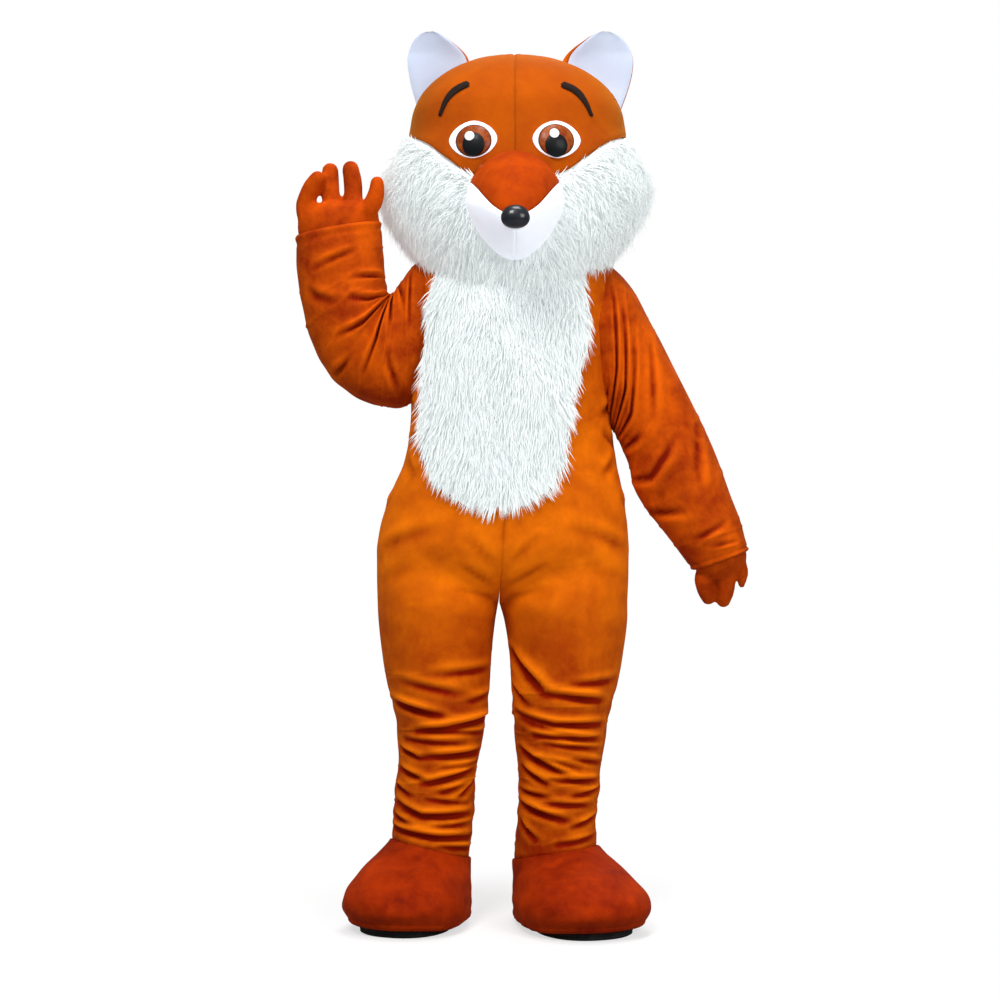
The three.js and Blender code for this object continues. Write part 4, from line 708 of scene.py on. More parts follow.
def digit_rings(path):
    """A finger as circles across its path, closed by a round tip."""
    path = np.array(path, float)
    at = curves(["x", "y", "h", "r"], np.column_stack([np.arange(len(path)), path]))
    last = len(path) - 1
    k = np.concatenate([np.linspace(0, last, 24), np.full(8, last)])
    cap = np.concatenate([np.zeros(24), np.sin(np.arange(1, 9) / 8.4 * pi / 2)])
    middle = np.stack([at["x"](k), at["y"](k), at["h"](k)], -1)
    ahead, behind = np.minimum(k + 0.2, last), np.maximum(k - 0.2, 0)
    along = unit(np.stack([at[c](ahead) - at[c](behind) for c in ("x", "y", "h")], -1))
    side = unit(np.cross((0, 1, 0), along))
    up = np.cross(along, side)
    size = (at["r"](k) * np.sqrt(1 - cap**2))[:, None, None]
    angle = np.linspace(0, 2 * pi, 20, endpoint=False)[None, :, None]
    centre = (middle + along * (at["r"](k) * cap)[:, None])[:, None, :]
    return centre + size * (side[:, None, :] * np.cos(angle) + up[:, None, :] * np.sin(angle))


def closed_rings(rings):
    """Rings with each end drawn together to its middle."""
    first, last = (np.repeat(rings[i].mean(0)[None, None], rings.shape[1], 1) for i in (0, -1))
    return np.concatenate([first, rings, last])


def join_soft(name, parts):
    """Closed parts melted into one skin by a voxel remesh, then smoothed."""
    points, faces, start = [], [], 0
    for rings in parts:
        rings = closed_rings(rings)
        p = rings.reshape(-1, 3)
        points.append(p)
        faces.append(turned_out(p, grid_faces(*rings.shape[:2], True)) + start)
        start += len(p)
    glove = make_piece(name, np.concatenate(points), np.concatenate(faces), True)
    melt = glove.modifiers.new("melt", "REMESH")
    melt.mode, melt.voxel_size = "VOXEL", GLOVE_VOXEL
    soften = glove.modifiers.new("soften", "SMOOTH")
    soften.iterations, soften.factor = GLOVE_SMOOTHING, 0.5
    bpy.context.view_layer.update()
    seen = glove.evaluated_get(bpy.context.evaluated_depsgraph_get())
    mesh = bpy.data.meshes.new_from_object(seen)
    glove.modifiers.clear()
    glove.data = mesh
    mesh.name = name
    return glove


gloves = []
for side, glove in GLOVES.items():
    palm, fingers = palm_rings(glove), [digit_rings(path) for path in glove["digits"].values()]
    piece = join_soft(f"glove_{side}_cloth", [palm, *fingers])
    cuff, hand = palm[0].mean(0), palm[4].mean(0)
    along = unit(np.array((-glove["tilt"], 0, 1.0)) * np.sign(hand[2] - cuff[2]))
    start = (cuff - (0, 0, SHOULDER_HEIGHT)) / 1000
    soft = bmesh.new()
    soft.from_mesh(piece.data)
    far = [(np.array(f.calc_center_median()) - start) @ along for f in soft.faces]
    end = [f for f, up in zip(soft.faces, far) if up < CUFF_DEEP and np.array(f.normal) @ along < -0.6]
    bmesh.ops.delete(soft, geom=end, context="FACES")
    soft.to_mesh(piece.data)
    soft.free()
    piece.data.polygons.foreach_set("use_smooth", np.ones(len(piece.data.polygons), bool))
    area = sum(p.area for p in piece.data.polygons)
    wall = piece.modifiers.new("cloth", "SOLIDIFY")
    wall.thickness, wall.offset = GLOVE_THICK, -1
    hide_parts(f"glove_{side}")
    gloves.append(piece)
dress(rust_plush, "rust_plush", *gloves)

# The shoe covers: rust plush over foam, cut round, that swells out over a flat sole of black rubber
# with a moulded edge. A collar goes up inside the trouser leg.
SHOES = {"left": (-169, 8, -20, 1.02), "right": (117, -4, 21, 1.09)}  # ankle's x, y, degrees turned, size
# The sole: how far toe and heel reach from the ankle, its half width, the share of the toe that lies behind
# its widest place, the heel's width as a share, and the power of its round corners.
TOE, HEEL, WIDE, FORWARD, HEEL_WIDE, SOLE_ROUND = 232, 118, 122, 0.42, 0.76, 0.88
SOLE_INSET, SOLE_TOP, TOE_SPRING, SHOE_WALL = 32, 7, 8, 9
# Rings of the sole's edge: how far in, and the share of its height.
SOLE_EDGE = [
    (60, 0), (8, 0), (4.5, 0.03), (2.2, 0.14), (2.2, 0.42), (3.6, 0.48), (3.6, 0.56), (1.6, 0.62), (1, 0.9),
    (3, 1), (60, 1),
]
swell = curves(
    ["share", "up"],
    [
        (0, 0.8, 0.02), (1, 0.9, 0.1), (2, 1, 0.25), (3, 0.96, 0.41), (4, 0.78, 0.58), (5, 0.46, 0.78),
        (6, 0.02, 1),
    ],
)


def sole_edge(side, angle, inset):
    """The shoe's outline round the ankle, moved in: an egg, wide at the toes, turned outwards. Its height
    is the sole's top, which rises at the toe."""
    x0, y0, turn, size = SHOES[side]
    cos, sin = np.cos(angle), np.sin(angle)
    forward = FORWARD * TOE
    wide = WIDE * np.where(sin > 0, 1, mix(HEEL_WIDE, 1, 1 + sin)) - inset
    long = np.where(sin > 0, TOE - forward, HEEL + forward) - inset
    x = wide * np.sign(cos) * np.abs(cos) ** SOLE_ROUND
    y = -forward - long * np.sign(sin) * np.abs(sin) ** SOLE_ROUND
    c, s = np.cos(radians(turn)), np.sin(radians(turn))
    top = SOLE_TOP + TOE_SPRING * ease(0.15, 0.95, np.maximum(0, sin))
    return stack(x0 + size * (x * c - y * s), y0 + size * (x * s + y * c), top)


def ankle_ring(side, angle, h, out):
    """The leg's section at a height, as seen from a point of the sole's outline, moved out by out."""
    leg = {name: line(np.minimum(h, CROTCH)) for name, line in legs[side].items()}
    edge = sole_edge(side, angle, 0)
    middle = (leg["inner"] + leg["outer"]) / 2
    facing = np.arctan2(leg["y"] - edge[..., 1], edge[..., 0] - middle)
    half = np.abs(leg["outer"] - leg["inner"]) / 2 + out
    depth = np.where(np.sin(facing) > 0, leg["front"], leg["back"]) + out
    return stack(middle + half * np.cos(facing), leg["y"] - depth * np.sin(facing), h), facing


def shoe_grid(side, columns=112):
    """The cover's outside: a rounded swell over the sole, the upper's slope up to the ankle, and the
    collar, which goes up inside the trouser leg."""
    angle = np.linspace(0, 2 * pi, columns, endpoint=False)[None, :]
    low = sole_edge(side, angle, SOLE_INSET)
    low[..., 2] += 0.8
    edge = sole_edge(side, angle, 0)
    ankle, facing = ankle_ring(side, angle, HEM_HEIGHT, 4)
    outer = np.clip((1 + SIDE[side] * np.cos(facing)) / 2, 0, 1)
    top = np.where(np.sin(facing) > 0, ankle_top(side, -1, outer), ankle_top(side, 1, outer))
    k = np.linspace(1, 6, 56)[:, None]
    share, up = swell["share"](k), swell["up"](k)
    upper = stack(
        mix(ankle[..., 0], edge[..., 0], share), mix(ankle[..., 1], edge[..., 1], share),
        mix(edge[..., 2] + 0.3, top, up),
    )
    turn = (np.arange(0, 10) / 10 * pi / 2)[:, None]
    first = upper[0][None]
    under = stack(
        mix(low[..., 0], first[..., 0], np.sin(turn)), mix(low[..., 1], first[..., 1], np.sin(turn)),
        mix(low[..., 2], first[..., 2], 1 - np.cos(turn)),
    )
    skin = np.concatenate([under, upper])
    level = np.concatenate([np.sin(turn) * 1.0, k])
    reach = angle * 150
    puff = ripples(reach, level * 40, 21 if side == "left" else 22, 2.0) * ease(0.4, 1.6, level)
    gathers = 1.1 * np.sin(angle * 46 + 2 * np.sin(angle * 5)) * bell(level - 0.75, 0.45)
    front = bell(np.arctan2(np.sin(angle - pi / 2), np.cos(angle - pi / 2)), 0.9)
    instep = -5 * front * bell(level - 5.25, 0.3) + 3 * front * bell(level - 4.6, 0.5)
    skin = skin + normals_of(skin, True) * (puff + gathers + instep)[..., None]
    foot = ankle_ring(side, angle, HEM_HEIGHT, -10)[0]
    foot[..., 2] = top + 1
    collar = ankle_ring(side, angle, 200, -12)[0]
    return np.concatenate([skin, foot, collar])


def sole_grid(side, columns=112):
    """The sole's slab as rings: a chamfered tread edge, a groove, a welt, and the top."""
    angle = np.linspace(0, 2 * pi, columns, endpoint=False)[None, :]
    rings = []
    for inset, up in SOLE_EDGE:
        ring = sole_edge(side, angle, SOLE_INSET + inset)
        ring[..., 2] *= up
        rings.append(ring)
    return np.concatenate(rings)


def two_tone(name, low, high, pattern, reach=None, grain=None, **shader):
    """A material coloured from low to high by a noise, or by the part of its range that reach gives.
    Grain is its own noise, or None for the same one, with a strength and a depth."""
    material, tree, principled = new_material(name, **shader)
    place = place_on(tree)
    share = height = noise(tree, place, *pattern)
    if reach:
        share = stretch(tree, share, *reach)
    tone = blend(tree, share, linear(*low), linear(*high))
    tree.links.new(tone, principled.inputs["Base Color"])
    if grain:
        own, strength, depth = grain
        if own:
            height = noise(tree, place, *own)
        tree.links.new(bump(tree, height, strength, depth), principled.inputs["Normal"])
    return material, tree, principled, tone


rubber, *_ = two_tone(
    "sole_rubber", (22, 22, 23), (46, 44, 43), (38.0, 6.0, 0.7), (0.42, 0.75), ((900.0,), 0.35, 0.0006),
    Roughness=0.7, Specular_IOR_Level=0.15)
for side in SIDE:
    shoe = make_wall(f"shoe_{side}_cover", shoe_grid(side), SHOE_WALL, loop=True)
    sole = closed_rings(sole_grid(side))
    sole = make_piece(f"sole_{side}_slab", sole, grid_faces(*sole.shape[:2], True), weld=True)
    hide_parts(f"shoe_{side}")
    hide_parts(f"sole_{side}")
    dress(shaded_shoe_plush, "rust_plush", shoe)
    dress(rubber, "sole_rubber", sole)

# The head: sheet foam covered in orange plush, in halves with a seam over the middle. Below the brow
# its back is plain, and the face's lower edge runs from the muzzle up to the temples.
HEAD_X, HEAD_Y, BROW, CROWN_RISE, HEAD_BOTTOM = 17, -10, 1640, 154, 1326
HEAD_SQUARENESS = 2.2
head = curves(
    ["left", "right", "front", "back"],
    [
        (1326, 150, 148, 140, 128), (1345, 166, 166, 152, 142), (1369, 188, 188, 166, 158),
        (1402, 217, 217, 184, 174), (1440, 245, 246, 198, 185), (1481, 267, 269, 206, 192),
        (1519, 278, 281, 209, 196), (1550, 268, 275, 208, 198), (1585, 244, 254, 204, 198),
        (1615, 223, 236, 200, 197), (1640, 215, 229, 196, 195),
    ],
)
face_edge = curve(
    [0, 10, 18, 29, 46, 68, 90, 125, 180], [1512, 1514, 1524, 1555, 1590, 1612, 1623, 1626, 1626],
)
CHEEK_END, CHEEK_TOP, HEAD_WIDEST = 125, 1626, 281


def head_size(h, out):
    """Half widths and depths at a height: from the table below the brow, and half an egg above it."""
    up = np.clip((h - BROW) / (CROWN_RISE + out), 0, 1)
    shrink = np.sqrt(np.maximum(0, 1 - up**2))
    return {name: (line(np.minimum(h, BROW)) + out) * shrink for name, line in head.items()}


def head_point(side, degrees, h, out=0.0):
    """A point of the head at an angle round from the front: a superellipse's quarter for each way."""
    size, power = head_size(h, out), 2 / HEAD_SQUARENESS
    angle = np.radians(degrees)
    sin, cos = np.maximum(np.sin(angle), 0), np.cos(angle)
    depth = np.where(cos > 0, -size["front"], size["back"]) * np.abs(cos) ** power
    return stack(HEAD_X + SIDE[side] * size[side] * sin**power, HEAD_Y + depth, h)


def face_point(x, h, out):
    """A point of the face seen at x and height h, moved out by out."""
    size = head_size(h, out)
    share = np.clip(np.abs(x - HEAD_X) / np.where(x < HEAD_X, size["left"], size["right"]), 0, 1)
    y = HEAD_Y - size["front"] * (1 - share**HEAD_SQUARENESS) ** (1 / HEAD_SQUARENESS)
    return stack(x, y, h)


def closer_ends(count, closer):
    """Shares from 0 to 1 that stand closer together towards both ends, so that seams there are sharp."""
    t = np.linspace(0, 1, count)[None, :]
    return t - closer * np.sin(2 * pi * t) / (2 * pi)


def crown_grid(side, rows=56, columns=84):
    """Half of the crown, from the face edge up to the middle of the top, with the middle seam drawn in."""
    degrees = 180 * closer_ends(columns, 0.78)
    t = np.linspace(0, 1, rows)[:, None]
    edge = face_edge(degrees)
    dome = BROW + CROWN_RISE * np.sin(np.clip((t - 0.3) / 0.7, 0, 1) * pi / 2)
    h = np.where(t < 0.3, mix(edge, BROW, t / 0.3), dome)
    size = head_size(h, 0)
    from_seam = size[side] * np.sin(np.radians(degrees))
    seam = -1.8 * bell(from_seam, 2.2) + 0.5 * bell(from_seam - 8, 6)
    tuck = -2.5 * bell(h - edge, 5) * ease(16, 30, degrees)
    soft = ripples(degrees * 3.2, h, 31, 0.9) * ease(0, 20, from_seam)
    skin = head_point(side, degrees, h, (seam + tuck + soft) * (1 - 0.9 * ease(0.97, 1, t)))
    return soften_rows(skin, bell(h - BROW, 16), 30)


def back_grid(side, rows=64, columns=26):
    """The plain back of the head, drawn in a little at its lower edge, its top edge let in under the
    crown."""
    degrees = mix(180, CHEEK_END, np.linspace(1, 0, columns)[None, :] ** 1.5)
    t = np.linspace(0, 1, rows)[:, None]
    edge = face_edge(degrees)
    h = mix(HEAD_BOTTOM, edge + 5, t)
    from_seam = head_size(h, 0)[side] * np.sin(np.radians(degrees))
    out = -1.8 * bell(from_seam, 2.2) - 9.8 * ease(edge - 5, edge + 1, h) - 5 * bell(t * 300, 7)
    return head_point(side, degrees, h, out + ripples(degrees * 3.2, h, 33, 1.0) * ease(0, 20, from_seam))


# The head's plush: a darker copy of the orange plush, painted shade against the stronger light that falls on
# the crown.
shaded_crown_plush = plush(
    "shaded_crown_plush", (184, 82, 4), (138, 46, 2), 9.0, 0.65, Sheen_Tint=linear(255, 205, 70),
    **{**SHEEN, "Sheen_Weight": 0.25})
for side in SIDE:
    crown = make_wall(f"crown_{side}_plush", crown_grid(side), 7, weld=True)
    back = make_wall(f"head_back_{side}_plush", back_grid(side), 7)
    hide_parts(f"crown_{side}")
    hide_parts(f"head_back_{side}")
    dress(shaded_crown_plush, "orange_plush", crown, back)

# The muzzle: a foam cone let into the face, its top in a darker copy of the orange plush, painted shade
# against the strong light on it, and its jaw in two halves of smooth white plush, with a seam where they
# meet.
MUZZLE_ROWS = np.linspace(0.15, 1, 46)[:, None]
MUZZLE_BACK, MUZZLE_LONG, CHIN_TAPER = 120, 232, 0.3
# By distance forward: half width, half height, height of the middle, and degrees from the side at which
# the top and the jaw are sewn.
muzzle = curves(
    ["w", "tall", "h", "split"],
    [
        (60, 96, 105, 1460, 24), (200, 98, 107, 1460, 24), (238, 93, 101, 1457, 23), (272, 80, 87, 1450, 21),
        (302, 63, 68, 1441, 17), (327, 45, 48, 1430, 13), (343, 29, 31, 1421, 14), (352, 6, 6, 1415, 15),
    ],
)


def muzzle_point(side, degrees, reach, out):
    """A ring of the muzzle: an ellipse at its distance forward, from the jaw's seam (0) to the top (180),
    narrower at the chin."""
    w, tall = muzzle["w"](reach) + out, muzzle["tall"](reach) + out
    angle = np.radians(degrees)
    across = w * np.sin(angle) * (1 - CHIN_TAPER * np.maximum(0, np.cos(angle)))
    return stack(HEAD_X + SIDE[side] * across, -reach, muzzle["h"](reach) - tall * np.cos(angle))


def seam_groove(distance):
    """The dip beside a sewn edge, by the distance from it in millimetres."""
    return -1.6 * bell(distance, 2.8)


reach = MUZZLE_BACK + MUZZLE_LONG * np.sin(MUZZLE_ROWS * pi / 2)
split = 90 + muzzle["split"](reach)
turn = closer_ends(51, 0.65)
degrees = mix(split, 360 - split, turn)
edge = (180 - split) * muzzle["w"](reach) * pi / 180
out = seam_groove(2 * edge * turn) + seam_groove(2 * edge * (1 - turn))
left_side = muzzle_point("left", degrees, reach, out)
right_side = muzzle_point("right", 360 - degrees, reach, out)
muzzle_top = make_wall("muzzle_top_plush", np.where((degrees <= 180)[..., None], left_side, right_side), 6)
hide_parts("muzzle_top")
# The muzzle top's plush: a darker copy of the orange plush, painted shade.
shaded_muzzle_plush = plush(
    "muzzle_plush", (184, 68, 2), (132, 34, 1), 16.0, 0.8, 0.0008, Sheen_Tint=linear(255, 120, 30), **SHEEN)
dress(shaded_muzzle_plush, "orange_plush", muzzle_top)
# The white plush glows a little: painted light that keeps the jaw and the eye whites bright.
white_plush = plush("white_plush", (244, 249, 254), (226, 234, 248), 9.0, 0.45, 0.0004,
    Specular_IOR_Level=0.1, Emission_Strength=0.4, Emission_Color=linear(226, 232, 246))
for side in SIDE:
    turn = closer_ends(30, 0.65)
    degrees = turn * split
    length = split * muzzle["w"](reach) * pi / 180
    out = seam_groove(length * turn) * 0.7 + seam_groove(length * (1 - turn))
    jaw = make_wall(f"jaw_{side}_plush", muzzle_point(side, degrees, reach, out), 6)
    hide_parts(f"jaw_{side}")
    dress(white_plush, "white_plush", jaw)

# The nose: a hollow ball of hard plastic, moulded glossy black, let into the muzzle's tip.
NOSE_HALF, NOSE_FORWARD, NOSE_HEIGHT, NOSE_ROUND = (28, 19, 23), 351, 1415, 0.92
down = np.linspace(0, pi, 42)[:, None]
turn = np.linspace(0, 2 * pi, 64, endpoint=False)[None, :]
across = np.sign(np.cos(turn)) * np.abs(np.cos(turn)) ** NOSE_ROUND
ball = stack(
    HEAD_X + NOSE_HALF[0] * np.sin(down) ** NOSE_ROUND * across,
    -NOSE_FORWARD - NOSE_HALF[1] * np.sin(down) * np.sin(turn),
    NOSE_HEIGHT + NOSE_HALF[2] * np.cos(down) * (1 + 0.06 * np.cos(down)),
)
nose = make_piece("nose_ball", ball, grid_faces(*ball.shape[:2], True), weld=True)
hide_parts("nose")
gloss_black, *_ = two_tone(
    "nose_black", (12, 16, 21), (24, 31, 40), (60.0, 3.0), grain=(None, 0.12, 0.001),
    Roughness=0.34, Specular_IOR_Level=0.25, Coat_Weight=0.35, Coat_Roughness=0.1)
dress(gloss_black, "nose_black", nose)

# The eyes: an almond of white plush with a blunt corner on each side, glued on the face, and on it a
# clear-coated brown dome, a black pupil and a white glint.
EYE_H, EYE_HALF, IRIS_HALF, PUPIL_HALF, GLINT_HALF = 1589, (48, 38), (36, 33), (22, 23.5), (9.6, 9.6)
EYE_POINTED = 1.75
SEAM, WHITE_THICK, IRIS_EDGE, IRIS_RISE, PRINT = 0.3, 2.5, 3, 9, 1.2
# Each eye: its middle, and those of the discs on it.
EYES = {
    "left": {"x": -66, "iris": (-65, 1586), "pupil": (-65, 1577), "glint": (-73, 1594)},
    "right": {"x": 100, "iris": (99, 1587), "pupil": (99, 1575), "glint": (95, 1599)},
}


def face_disc(name, middle, half, low, high, rings=12, spokes=48, power=2.0):
    """A closed patch on the face: rings out to an oval, its top high over the face and its foot low. A
    power under 2 draws its corners to points."""
    share = np.linspace(0, 1, rings)[:, None]
    angle = np.linspace(0, 2 * pi, spokes, endpoint=False)[None, :]
    across, upward = np.abs(np.cos(angle) / half[0]) ** power, np.abs(np.sin(angle) / half[1]) ** power
    reach = (across + upward) ** (-1 / power)
    x = middle[0] + reach * share * np.cos(angle)
    h = middle[1] + reach * share * np.sin(angle)
    top, foot = face_point(x, h, high(share, x, h)), face_point(x, h, low)
    rings = np.concatenate([top, foot[-1:]])
    rings = np.concatenate([rings, foot[::-1]])
    return make_piece(name, rings, grid_faces(*rings.shape[:2], True), weld=True)


def iris_share(middle, x, h):
    """How far a point is from an iris's middle, as a share of the iris's half widths."""
    return np.hypot((x - middle[0]) / IRIS_HALF[0], (h - middle[1]) / IRIS_HALF[1])


def dome_height(middle, x, h):
    """The brown dome's height over the face: a low edge, and a rise towards its middle."""
    share = np.clip(iris_share(middle, x, h), 0, 1)
    return 2 * SEAM + WHITE_THICK + IRIS_EDGE + IRIS_RISE * (1 - share**2)


iris_brown, tree, shader, tone = two_tone(
    "iris_brown", (118, 44, 6), (156, 76, 16), (48.0, 4.0, 0.5, 1.5), (0.35, 0.7),
    Roughness=0.45, Specular_IOR_Level=0.15, Coat_Weight=0.12, Coat_Roughness=0.15)
rimmed = blend(tree, attribute(tree, "rim"), tone, linear(70, 26, 10))
tree.links.new(rimmed, shader.inputs["Base Color"])
pupil_black, *_ = two_tone(
    "pupil_black", (6, 8, 10), (14, 17, 21), (300.0,),
    Roughness=0.5, Specular_IOR_Level=0.15, Coat_Weight=0.06, Coat_Roughness=0.15)
glint_white, *_ = two_tone(
    "glint_white", (246, 248, 252), (255, 255, 255), (250.0,), Roughness=0.25, Coat_Weight=0.6)
for side, eye in EYES.items():
    centre = eye["iris"]
    top = SEAM + WHITE_THICK
    white = face_disc(
        f"eye_white_{side}_felt", (eye["x"], EYE_H), EYE_HALF, -2,
        lambda s, x, h: top - 1.2 * ease(0.93, 1, s), 18, 72, EYE_POINTED)
    iris = face_disc(
        f"iris_{side}_dome", centre, IRIS_HALF, SEAM + top,
        lambda s, x, h: dome_height(centre, x, h) - 1.5 * ease(0.95, 1, s), 20, 60)
    co = np.empty(len(iris.data.vertices) * 3)
    iris.data.vertices.foreach_get("co", co)
    co = co.reshape(-1, 3) * 1000 + (0, 0, SHOULDER_HEIGHT)
    mark(iris, "rim", 0.85 * ease(0.88, 0.99, iris_share(centre, co[:, 0], co[:, 2])))
    pupil = face_disc(
        f"pupil_{side}_print", eye["pupil"], PUPIL_HALF, 8,
        lambda s, x, h: dome_height(centre, x, h) + 0.6 + PRINT * (1 - 0.5 * ease(0.9, 1, s)))
    glint = face_disc(
        f"glint_{side}_print", eye["glint"], GLINT_HALF, 12,
        lambda s, x, h: dome_height(centre, x, h) + 1.6 + PRINT - 0.4 * ease(0.85, 1, s), 8, 36)
    for part, node, look, slot in (
        (white, "eye_white", white_plush, "white_plush"), (iris, "iris", iris_brown, "eye_brown"),
        (pupil, "pupil", pupil_black, "eye_black"), (glint, "glint", glint_white, "eye_glint"),
    ):
        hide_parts(f"{node}_{side}")
        dress(look, slot, part)

# The brows: a strip of dark brown felt over each eye, padded, pointed at its outer end and round at
# its inner one, glued along its edges.
BROW_HALF = 7.8
# Points along each brow, from its outer end: x and height.
BROWS = {
    "left": [(0, -134, 1643), (1, -121, 1674), (2, -102, 1695), (3, -74, 1708)],
    "right": [(0, 172, 1642), (1, 158, 1671), (2, 139, 1693), (3, 110, 1706)],
}
felt, *_ = two_tone(
    "brow_felt", (22, 16, 14), (50, 37, 31), (520.0, 4.0), grain=(None, 0.5, 0.0008),
    Roughness=0.95, Specular_IOR_Level=0.08)
for side, rows in BROWS.items():
    at = curves(["x", "h"], rows)
    k = np.linspace(0, 3, 48)[:, None]
    share = np.linspace(-1, 1, 13)[None, :]
    dx, dh = at["x"](k + 0.04) - at["x"](k - 0.04), at["h"](k + 0.04) - at["h"](k - 0.04)
    size = np.hypot(dx, dh)
    ends = np.sqrt(np.clip(1 - ((k - 2.8) / 0.2) ** 2 * (k > 2.8), 0.02, 1) * np.clip(k / 0.05, 0.05, 1))
    half = BROW_HALF * (0.5 + 0.5 * ease(0, 2, k)) * ends
    x, h = at["x"](k) - half * share * dh / size, at["h"](k) + half * share * dx / size
    strip = face_point(x, h, SEAM + 1.0 + 3.2 * (1 - share**2) * half / BROW_HALF)
    brow = make_wall(f"brow_{side}_felt", strip, inside=face_point(x, h, SEAM))
    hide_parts(f"brow_{side}")
    dress(felt, "brown_felt", brow)

# The ears: padded, with an orange plush back and a white plush front sewn together round the edge and
# into the crown. The orange shows as a rim along the inner edge.
EAR_LOW, EAR_TOP = 1680, 1846
ear = curves(
    ["inner", "outer"],
    [
        (1680, 122, 198), (1730, 105, 213), (1765, 97, 220), (1790, 101, 222), (1810, 116, 218),
        (1829, 138, 209), (1838, 149, 201), (1843, 157, 194), (1846, 166, 184),
    ],
)
# Each ear: how far it is moved out, how wide it is, and how much of the orange back shows as a rim.
EARS = {"left": (0, 1, 7), "right": (14, 1.09, 17)}


def ear_place(side, rim, rows=42, columns=24):
    """The ear's sheet: rungs across from its inner to its outer edge, turned and cupped."""
    shift, widen, _ = EARS[side]
    h = mix(EAR_LOW, EAR_TOP, np.sin(np.linspace(0, 1, rows)[:, None] * pi / 2))
    share = (1 - np.cos(np.linspace(0, 1, columns)[None, :] * pi)) / 2
    narrow = rim * np.clip((EAR_TOP + 3 - h) / 90, 0, 1)
    across = mix(ear["inner"](h) - narrow, ear["outer"](h), share * widen)
    cup = np.clip((ear["outer"](h) - ear["inner"](h)) / 110, 0, 1)
    front = -6 - cup * (26 * (0.5 - share) - 9 * 4 * share * (1 - share))
    return HEAD_X + SIDE[side] * (across + shift), front, h, share


# The ears' white: a darker, bluer copy of the white plush without its glow, painted shade on the ears.
shaded_ear_white = plush("shaded_ear_white", (194, 205, 224), (176, 189, 213), 9.0, 0.5, 0.0004, Specular_IOR_Level=0.05)
for side in SIDE:
    x, y, h, share = ear_place(side, EARS[side][2])
    up = (h - EAR_LOW) / (EAR_TOP - EAR_LOW)
    round_back = np.sqrt(np.maximum(0, 4 * share * (1 - share)))
    stuffed = 4 + 30 * round_back * (1 - 0.75 * up**2)
    ear_back = make_wall(f"ear_back_{side}_plush", stack(x, y + stuffed, h), inside=stack(x, y, h))
    x, y, h, share = ear_place(side, 0)
    edge = np.minimum(share, 1 - share) * 100
    pad = 4 + 1.5 * ease(0, 14, edge) - 1.5 * bell(edge, 2.5) + 0.5 * np.sin(h / 17 + share * 4)
    ear_front = make_wall(f"ear_front_{side}_plush", stack(x, y - 1.2 - pad, h), inside=stack(x, y - 1.0, h))
    for part, node, look, slot in (
        (ear_back, "ear_back", orange_plush, "orange_plush"),
        (ear_front, "ear_front", shaded_ear_white, "white_plush"),
    ):
        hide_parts(f"{node}_{side}")
        dress(look, slot, part)

# The long white pile, of the bib and the cheeks: faux fur on a knit backing. The backing is a thin
# cloth, and the pile is thousands of fine tapered strands that lie down the body in uneven locks.
BIB_LOW, BIB_TOP, BACKING_FROM, BACKING_IN = 843, 1352, 862, 7
STRANDS = 15500
STRAND_WIDTH, LOCKS, GATHER = 1.9, 900, 0.4
# The bib's left and right edge by height.
BIB = curves(
    ["left", "right"],
    [
        (840, -32, -6), (852, -68, 26), (870, -100, 56), (898, -134, 90), (930, -155, 110), (970, -168, 120),
        (1020, -174, 126), (1075, -173, 132), (1145, -174, 152), (1200, -171, 164), (1260, -162, 167),
        (1346, -146, 156),
    ],
)


def chest_point(x, h, out):
    """A point of the jumpsuit's front at x and height h, moved out by out."""
    off = x - torso["seam"](h)
    half = np.where(off < 0, torso["seam"](h) - torso["left"](h), torso["right"](h) - torso["seam"](h)) + out
    flat = np.maximum(1 - np.clip(np.abs(off) / half, 0, 1) ** TORSO_SQUARENESS, 0) ** (1 / TORSO_SQUARENESS)
    return stack(x, -(torso["front"](h) + out) * flat, h)


